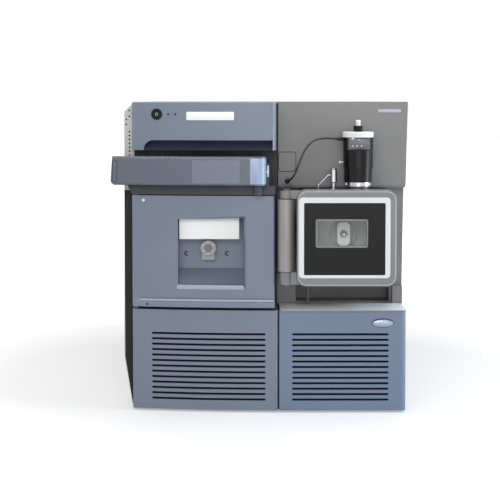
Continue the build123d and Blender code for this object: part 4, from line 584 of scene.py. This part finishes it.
BUTTON = (-247, 659)
sign = open_ring(3.0, 0.45, lambda v: v.co.y > 0.0022 and abs(v.co.x) < 0.0016)
bpy.ops.object.select_all(action="DESELECT")
bpy.ops.mesh.primitive_cube_add(size=1, location=(0, 0.0027, 0))
bar = bpy.context.active_object
bar.scale = (0.0009, 0.0030, 0.0009)
bpy.ops.object.transform_apply(location=True, rotation=True, scale=True)
soften(bar, 0.2)
sign = joined([sign, bar])
turn = bow_turn(BUTTON[0])
sign.rotation_euler = (math.pi / 2, 0, turn)
front = at(BUTTON[0], bow(BUTTON[0]), BUTTON[1]) + Vector((math.sin(turn), -math.cos(turn), 0)) * 0.0016
sign.location = front
settle(sign, "power_sign", "light_grey", "button")
print("button sign at", [round(v, 4) for v in front])

# %% [markdown]
# ## The scoop's painted shade
# The finger scoop is lined with a thin dark sheet that paints the deep shade in the scoop. It is a grid
# whose points are laid on the scoop's slope: upright and deep at the top, running out to the front at the
# foot, and lower where the left corner is round. A solidify modifier gives it a thickness.

# %% Scoop shade liner
SCOOP_X = (-275.6, 7.6)
SCOOP_Z = (580.4, 601.6)
bpy.ops.object.select_all(action="DESELECT")
bpy.ops.mesh.primitive_grid_add(x_subdivisions=72, y_subdivisions=14, size=1, location=(0, 0, 0))
scoop_liner = bpy.context.active_object
for vertex in scoop_liner.data.vertices:
    along, up = vertex.co.x + 0.5, vertex.co.y + 0.5
    x = SCOOP_X[0] + (SCOOP_X[1] - SCOOP_X[0]) * along ** 1.6
    inside = max(0.0, -255 - x)
    top = 580.8 + math.sqrt(max(0.0, 20.8 ** 2 - inside ** 2))
    z = SCOOP_Z[0] + (top - SCOOP_Z[0]) * up
    proud = -14.6 if z > 597.2 else -14.6 + (597.2 - z) * 13.4 / 16.8
    vertex.co = at(x, bow(x, proud), z)
thicken = scoop_liner.modifiers.new("thickness", "SOLIDIFY")
thicken.thickness = 0.0003
thicken.offset = 0
bpy.context.view_layer.objects.active = scoop_liner
bpy.ops.object.modifier_apply(modifier=thicken.name)
edit(scoop_liner)
close(scoop_liner)
settle(scoop_liner, "scoop_grip", "scoop_grip", "cabinet")
print("grip reaches", round(top), "mm")

# %% [markdown]
# ## Painted shade on the left side cover's return
# Below the arm, a thin dark strip on the cover's front return paints the shade that lies there. The thin
# strip follows the cover's outline, which runs in toward the foot, so its lowest corner is moved in.

# %% Painted shade on the return
strip = plate(-322.4, -303, 9, 489, 61.9, 0.4, 0.6, 0)
edit(strip)
bpy.ops.mesh.select_all(action="SELECT")
bpy.ops.mesh.bisect(plane_co=at(0, 0, 116), plane_no=(0, 0, 1))
bpy.ops.object.mode_set(mode="OBJECT")
for vertex in strip.data.vertices:
    low = 116 - vertex.co.z * 1000
    if low > 0 and vertex.co.x < at(-310, 0, 0).x:
        vertex.co.x += 0.0165 * low / 107
settle(strip, "dark_return", "shadow_paint", "cabinet")

# %% [markdown]
# ## The swing arm's panels
# At its free end the arm has a small cover with a dark gap round it, and near the middle a thin blank
# film. The barrel at the other end wears a pale sleeve, a painted highlight where the barrel catches the
# light: half of a turned tube and a plate that runs on along the arm.

# %% Arm panels
settle(
    plate(-344.2, -333.0, 511.5, 557.5, 0, 0.25, 3, 0, proud=32.05), "arm_end_gap", "dark_plastic",
    "arm",
)
settle(
    plate(-343.0, -334.2, 512.7, 556.3, 0, 0.7, 2.2, 0.3, proud=32.05), "arm_end_cover", "arm_paint",
    "arm",
)
settle(plate(-168, -64, 509, 560, 0, 0.25, 2, 0, proud=32.05), "arm_film", "patch", "arm")
PIN = (-24.5, -13.55)
# The pale sleeve paints the barrel's highlight.
sleeve = turned(
    (PIN[0], PIN[1], 507.5), (0, 0, 1), [(18.02, 0), (18.05, 0.8), (18.05, 55.2), (18.02, 56)], sides=64
)
edit(sleeve)
bpy.ops.mesh.select_all(action="SELECT")
bpy.ops.mesh.bisect(plane_co=at(PIN[0], 0, 0), plane_no=(1, 0, 0), clear_inner=True, use_fill=True)
close(sleeve)
front = plate(-41.8, PIN[0] + 0.2, 507.5, 563.5, 0, 0.45, 1.5, 0.1, proud=31.62)
settle(joined([sleeve, front]), "barrel_sleeve", "barrel_paint", "arm")

# %% [markdown]
# ## Behind the door's window
# A white plate, left bare, hangs from the tray's roof behind the top of the window. Two dark open rings
# hold tubes when the valve is in use, and a small dark clip sits on the ledge. Six tube nuts sit round
# the valve's rotor, which hangs on a small bracket.

# %% Tray pieces
TRAY = 55.5
settle(
    plate(-198.2, -65.8, 382.8, 433.8, 26, 0.8, 0.6, 0.2), "tray_plate", "white_enamel", "cabinet",
)
for i, x in enumerate((-183.8, -92.7)):
    ring = open_ring(3.9, 1.2, lambda v: v.co.x > 0.0012 and abs(v.co.y) < 0.0026)
    ring.rotation_euler = (math.pi / 2, 0, 0)
    ring.location = at(x, TRAY - 1.0, 347.6)
    settle(ring, f"tube_clip_{i + 1}", "dark_plastic", "cabinet")
VALVE = (-134.5, 362, 35.5)
nuts = []
for i in range(6):
    angle = math.radians(60 * (i + 0.5))
    place = (VALVE[0] + 12.3 * math.cos(angle), VALVE[2], VALVE[1] + 12.3 * math.sin(angle))
    nuts.append(
        turned(place, (0, -1, 0), [(2.9, 0), (2.9, 2.2), (2.4, 2.8), (1.4, 3.0), (1.2, 5.5)], sides=6)
    )
settle(joined(nuts), "valve_nuts", "nylon", "cabinet", smooth=25)
settle(plate(-149, -120, 334.8, 352, 46, 5, 3, 0.5), "valve_bracket", "valve_grey", "cabinet")
settle(plate(-140, -119, 287, 292.5, 40, 5, 1.5, 0.4), "tray_clip", "dark_plastic", "cabinet")

# %% [markdown]
# ## The fluidics door's small pieces
# A white bumper near the top left corner, and a small dark disc at the foot that paints the shade of a
# finger notch. The window's sill and the lip's crest each get a thin pale bead that follows the bow, a
# painted highlight where these edges catch the light.

# %% Door pieces
DOT = (-277.5, 469.5)
turn = bow_turn(DOT[0])
outward = (math.sin(turn), -math.cos(turn), 0)
bumper = turned(
    (DOT[0], bow(DOT[0]) + 0.3, DOT[1]), outward,
    [(3.8, 0), (3.8, 1.2), (3.5, 2.2), (2.7, 3.0), (1.4, 3.5)],
)
settle(bumper, "door_bumper", "white_plastic", "door")
NOTCH = -269
turn = bow_turn(NOTCH)
# Painted shade: a thin dark disc for the shade in a finger notch.
notch_shade = turned(
    (NOTCH, bow(NOTCH, 7) + 0.1, 239.8), (math.sin(turn), -math.cos(turn), 0),
    [(2.4, 0), (2.4, 0.3), (1.6, 0.5)], sides=20,
)
settle(notch_shade, "door_notch", "dark_plastic", "door")
# Painted highlights along the window's sill and the lip's crest.
settle(
    plate(-203.5, -55.5, 273, 282.8, 0, 1.0, 2.5, 0.8, proud=0.1), "window_sill", "edge_paint", "door",
)
settle(
    plate(-286, 9.5, 246.8, 251.4, 0, 1.6, 2, 1.2, proud=3.6), "lip_bead", "edge_paint", "door",
)

# %% [markdown]
# ## The arm's latch
# On the stop beside the arm's barrel sits a pale latch plate with a white bumper.

# %% Latch
settle(
    plate(-5.1, -0.4, 522, 547, 0.6, 1.4, 1.2, 0.3), "latch_plate", "light_grey", "cabinet",
)
latch = turned(
    (-3.2, -0.8, 533), (-0.5, -0.87, 0), [(3.2, 0), (3.2, 1.6), (2.8, 2.6), (1.6, 3.4)], sides=20
)
settle(latch, "latch_bumper", "white_plastic", "cabinet")

# %% [markdown]
# ## Painted shade in the slots
# A dark strip lies in every slot of the lower panels, a little behind the front, and paints the shade
# inside the slot. The highest strip is made as a plate and copied downwards, and the left ones follow the bow.

# %% Slot shade
SLOT_TOP = 174.5
SLOT_STEP = 12.1
SLOTS = 13


def felt(name, x0, x1, proud=None):
    """Thirteen dark strips of painted shade between x0 and x1, flat or on the bow."""
    strips = [plate(x0, x1, SLOT_TOP - 2.3, SLOT_TOP + 2.3, 1.9, 0.5, 2.2, 0, proud=proud)]
    for i in range(1, SLOTS):
        strip = strips[0].copy()
        strip.data = strips[0].data.copy()
        strip.location.z = -SLOT_STEP * i / 1000
        bpy.context.scene.collection.objects.link(strip)
        strips.append(strip)
    return settle(joined(strips), name, "felt", "cabinet")


felt("left_slot_felt", -259.4, -7.6, proud=-1.9)
felt("right_slot_felt", 51.1, 263.9)

# %% [markdown]
# ## The seam between the lower panels
# Between the lower panels one sees into the dark, so a dark strip lies behind the seam.

# %% Seam strip
settle(plate(19.5, 23.0, 5.5, 226.5, 12, 2, 0.3, 0), "panel_seam", "dark_plastic", "cabinet")

# %% [markdown]
# ## The source recess
# The ledge is covered by a pale plate whose light colour paints the light that falls on the ledge, a drain
# pipe comes down through the dark cavity, and the small access cover over the socket is outlined by a dark
# line. The plate at the top right of the cover is left bare.

# %% Recess and cover pieces
bpy.ops.object.select_all(action="DESELECT")
bpy.ops.mesh.primitive_plane_add(size=1, location=at(162.8, 55.8, 227.05))
ledge = bpy.context.active_object
ledge.scale = (0.2765, 0.1050, 1)
bpy.ops.object.transform_apply(location=True, rotation=True, scale=True)
edit(ledge, "VERT")
bpy.ops.mesh.select_all(action="SELECT")
bpy.ops.mesh.bevel(offset=0.0076, segments=6, affect="VERTICES")
pick(ledge, lambda face: True)
bpy.ops.mesh.extrude_region_move(TRANSFORM_OT_translate={"value": (0, 0, 0.0008)})
close(ledge)
soften(ledge, 0.3)
settle(ledge, "ledge_plate", "ledge_paint", "cabinet")
drain = turned(
    (88.9, 100, 227.8), (0, 0, 1), [(4.2, 0), (4.2, 3), (2.6, 4), (2.6, 52), (3.4, 53), (3.4, 57.5)]
)
settle(drain, "drain_pipe", "lead_grey", "cabinet")
settle(rim(21.8, 62.2, 528.8, 574.2, 85.05, 0.2, 7, 1.6), "access_line", "dark_plastic", "cabinet")
settle(
    plate(245.5, 297.5, 662.5, 669.3, 85, 0.6, 1.5, 0.15), "cover_plate", "bare_plate", "cabinet",
)

# %% [markdown]
# ## The source door
# The pane sits in a light grey gasket, and a thin pale bead along the frame's edge is a painted highlight
# of that rounded edge. Behind the pane the enclosure's back wall has a pale liner, whose light colour
# paints the light in the enclosure, so that the sampling cone can be seen.

# %% Gasket, bead and liner
gasket = rim(158.4 - 57.2, 158.4 + 57.2, 399.5 - 31.2, 399.5 + 31.2, -16.2, 5.6, 5, 3.4, soft=0.6)
settle(gasket, "pane_gasket", "door_frame_grey", "source_door")
# Painted highlight: a pale bead along the frame's rounded edge.
bead = rim(63.3, 275.7, 286, 491.2, -21.9, 0.7, 18, 1.1, soft=0.2)
settle(bead, "frame_bead", "light_grey", "source_door")
# Painted light: the pale liner stands in for light inside the shaded enclosure.
liner = plate(73, 266, 295.5, 481.5, 116.9, 0.6, 12, 0.2)
settle(liner, "source_liner", "light_grey", "cabinet")

# %% [markdown]
# ## The probe's small pieces
# A silver plate with its small contacts sits on the flat of the black body, and a lock screw with a
# white ball stands out on the left.

# %% Probe pieces
settle(
    plate(175.5, 223.0, 581, 606.5, 24.1, 1.2, 2.2, 0.3), "probe_plate", "contact_plate", "cabinet",
)
settle(plate(181.5, 188.2, 603.3, 608.4, 23.0, 1.2, 0.8, 0.2), "flange_tab", "white_plastic", "cabinet")
studs = [
    turned((x, 23.1, z), (0, -1, 0), [(1.9, 0), (1.9, 0.9), (1.3, 1.5)], sides=16)
    for x, z in ((184.5, 588.8), (194.2, 588.8), (203.8, 588.8), (199, 602.5))
]
settle(joined(studs), "probe_studs", "nylon", "cabinet")
ball = turned(
    (166.5, 45, 552.4), (-1, 0, 0),
    [(1.3, 0), (1.3, 5.4), (2.1, 6.0), (2.7, 7.1), (2.9, 8.4), (2.7, 9.7), (2.1, 10.8), (1.0, 11.4)],
)
settle(ball, "lock_screw", "white_plastic", "cabinet")

# %% [markdown]
# ## Rear and side fasteners
# The fan has a wire guard: rings on two cross wires. Pan head screws hold the rear panel, the top and
# the left side cover. One screw is turned and copied, each copy with its own mesh.

# %% Fan guard and screws
FAN = (-145, 120)
wires = []
for radius in (9, 18, 27, 36):
    bpy.ops.object.select_all(action="DESELECT")
    bpy.ops.mesh.primitive_torus_add(
        major_radius=radius / 1000, minor_radius=0.0009, major_segments=40, minor_segments=8,
        rotation=(math.pi / 2, 0, 0), location=at(FAN[0], 866.2, FAN[1]),
    )
    wires.append(bpy.context.active_object)
for direction in ((1, 0, 1), (1, 0, -1)):
    start = (FAN[0] - 41 * 0.7071 * direction[0], 867.4, FAN[1] - 41 * 0.7071 * direction[2])
    wires.append(turned(start, direction, [(0.9, 0), (1.0, 1), (1.0, 81), (0.9, 82)], sides=10))
settle(joined(wires), "fan_guard", "steel", "cabinet")


def screws(name, body, places, direction, look="steel"):
    """Pan head screws at several places, as one piece."""
    first = turned(
        places[0], direction, [(3.6, 0), (3.6, 0.8), (3.0, 1.8), (1.7, 2.3), (1.5, 1.2)], sides=18
    )
    heads = [first]
    for place in places[1:]:
        head = first.copy()
        head.data = first.data.copy()
        head.location = at(*place)
        bpy.context.scene.collection.objects.link(head)
        heads.append(head)
    return settle(joined(heads), name, look, body)


rear = [(x, 865, z) for x in (-285, -100, 120, 285) for z in (26, 668)]
rear += [(x, 865, z) for x in (-285, 285) for z in (240, 455)]
screws("rear_screws", "cabinet", rear, (0, 1, 0))
screws(
    "top_screws", "cabinet", [(x, y, 683.8) for x in (-280, 0, 280) for y in (180, 500, 820)], (0, 0, 1)
)
screws("left_screws", "cabinet", [(-323.8, y, 214) for y in (110, 460, 820)], (-1, 0, 0))
print("fasteners:", len(rear) + 12)

# %% [markdown]
# ## The lower right panel's badge
# The oval badge is bare: a domed silver plate on a dark oval bed, set a little high so that its dark rim
# above the badge is painted shade. A circle is filled, squeezed to an oval, extruded and shrunk in steps to
# make the dome.

# %% Oval badge
BADGE = (251, 199)


def oval(x, z, y, half_width, half_height, profile):
    """A domed oval that faces the front, from (share of the size, millimetres out) steps."""
    steps = [(half_width * share, out) for share, out in profile]
    piece = turned((x, y, z), (0, -1, 0), steps, sides=40)
    piece.scale = (1, 1, 1)
    squeeze = half_height / half_width
    bpy.ops.object.select_all(action="DESELECT")
    piece.select_set(True)
    bpy.context.view_layer.objects.active = piece
    bpy.ops.object.transform_apply(location=True, rotation=True, scale=True)
    middle = at(x, y, z)
    for vertex in piece.data.vertices:
        vertex.co.z = middle.z + (vertex.co.z - middle.z) * squeeze
    return piece


# Painted shade: the dark bed shows above the badge as its shadow.
shadow_bed = oval(BADGE[0], BADGE[1] + 0.9, 0.05, 24.2, 10.2, [(1.0, 0), (1.0, 0.35), (0.97, 0.5)])
settle(shadow_bed, "badge_bed", "dark_plastic", "cabinet")
badge = oval(
    BADGE[0], BADGE[1], 0.1, 22.7, 8.6,
    [(1.0, 0), (1.0, 0.9), (0.95, 1.5), (0.8, 2.2), (0.5, 2.8), (0.2, 3.0)],
)
settle(badge, "badge", "badge_metal", "cabinet")

# %% [markdown]
# ## The floor and the light
# The floor and the backdrop are white for the eye and for reflections, through Light Path, and the
# object still throws its soft shadow on the floor near it. A big lamp in front, above the eye, does most
# of the work, with a weak one at the height of the panels that reaches into the recess and the window. A
# tall cool one on the right gives the rounded edges their bright lines, one above lights what faces up,
# and the sky fills in.

# %% Floor
SHADOW_REACH = 0.62  # metres from the middle
WHITE_FROM = 2.0
NEAR_GLOW = 0.37
bpy.ops.object.select_all(action="DESELECT")
bpy.ops.mesh.primitive_plane_add(size=40, location=(0, 0, 0))
floor = bpy.context.active_object
floor.name = "floor"
paper = bpy.data.materials.new("white_floor")
paper.use_nodes = True
tree = paper.node_tree
shader = tree.nodes["Principled BSDF"]
shader.inputs["Base Color"].default_value = (0.62, 0.62, 0.62, 1)
shader.inputs["Roughness"].default_value = 0.7
path = tree.nodes.new("ShaderNodeLightPath")


def seen(tree, path):
    """One where a ray from the eye, a mirror or a pane arrives, and otherwise nought."""
    total = path.outputs["Is Camera Ray"]
    for kind in ("Is Glossy Ray", "Is Transmission Ray"):
        add = tree.nodes.new("ShaderNodeMath")
        add.operation = "MAXIMUM"
        tree.links.new(total, add.inputs[0])
        tree.links.new(path.outputs[kind], add.inputs[1])
        total = add.outputs["Value"]
    return total


glow = tree.nodes.new("ShaderNodeEmission")
lift = tree.nodes.new("ShaderNodeMath")
lift.operation = "MULTIPLY"
where = tree.nodes.new("ShaderNodeTexCoord")
distance = tree.nodes.new("ShaderNodeVectorMath")
distance.operation = "LENGTH"
tree.links.new(where.outputs["Object"], distance.inputs[0])
fade = tree.nodes.new("ShaderNodeMapRange")
fade.inputs["From Min"].default_value = SHADOW_REACH
fade.inputs["From Max"].default_value = WHITE_FROM
fade.inputs["To Min"].default_value = NEAR_GLOW
fade.inputs["To Max"].default_value = 1.0
tree.links.new(distance.outputs["Value"], fade.inputs["Value"])
tree.links.new(seen(tree, path), lift.inputs[0])
tree.links.new(fade.outputs["Result"], lift.inputs[1])
tree.links.new(lift.outputs["Value"], glow.inputs["Strength"])
both = tree.nodes.new("ShaderNodeAddShader")
tree.links.new(shader.outputs["BSDF"], both.inputs[0])
tree.links.new(glow.outputs["Emission"], both.inputs[1])
tree.links.new(both.outputs["Shader"], tree.nodes["Material Output"].inputs["Surface"])
floor.data.materials.append(paper)

# %% World and lamps
SKY = 0.27  # what the sky lights with
world = bpy.data.worlds.new("studio")
bpy.context.scene.world = world
world.use_nodes = True
tree = world.node_tree
path = tree.nodes.new("ShaderNodeLightPath")
level = tree.nodes.new("ShaderNodeMapRange")
level.inputs["To Min"].default_value = SKY
level.inputs["To Max"].default_value = 1.0
tree.links.new(seen(tree, path), level.inputs["Value"])
tree.nodes["Background"].inputs["Color"].default_value = (1, 1, 1, 1)
tree.links.new(level.outputs["Result"], tree.nodes["Background"].inputs["Strength"])


def lamp(name, place, target, size, power, colour=(1, 1, 1)):
    """A soft lamp, so wide and so tall, that points at a target."""
    light = bpy.data.lights.new(name, "AREA")
    light.shape = "RECTANGLE"
    light.size, light.size_y = size
    light.energy = power
    light.color = colour
    holder = bpy.data.objects.new(name, light)
    holder.location = place
    holder.rotation_mode = "QUATERNION"
    holder.rotation_quaternion = (Vector(target) - Vector(place)).to_track_quat("-Z", "Y")
    bpy.context.scene.collection.objects.link(holder)
    return holder


lamp("front_softbox", (-0.5, -3.8, 2.1), (0, -0.3, 0.35), (2.2, 1.6), 47)
lamp("level_softbox", (0.35, -3.7, 0.75), (0, -0.3, 0.35), (1.8, 1.0), 10)
lamp("right_softbox", (2.0, -0.75, 0.9), (0.1, -0.4, 0.4), (0.9, 2.0), 34, (0.74, 0.87, 1.0))
lamp("left_softbox", (-2.6, -1.6, 1.6), (-0.1, -0.2, 0.4), (1.4, 1.8), 12)
lamp("top_softbox", (0, -0.2, 3.0), (0, 0, 0.5), (2.2, 2.2), 40)
bpy.context.scene.view_settings.view_transform = "Standard"
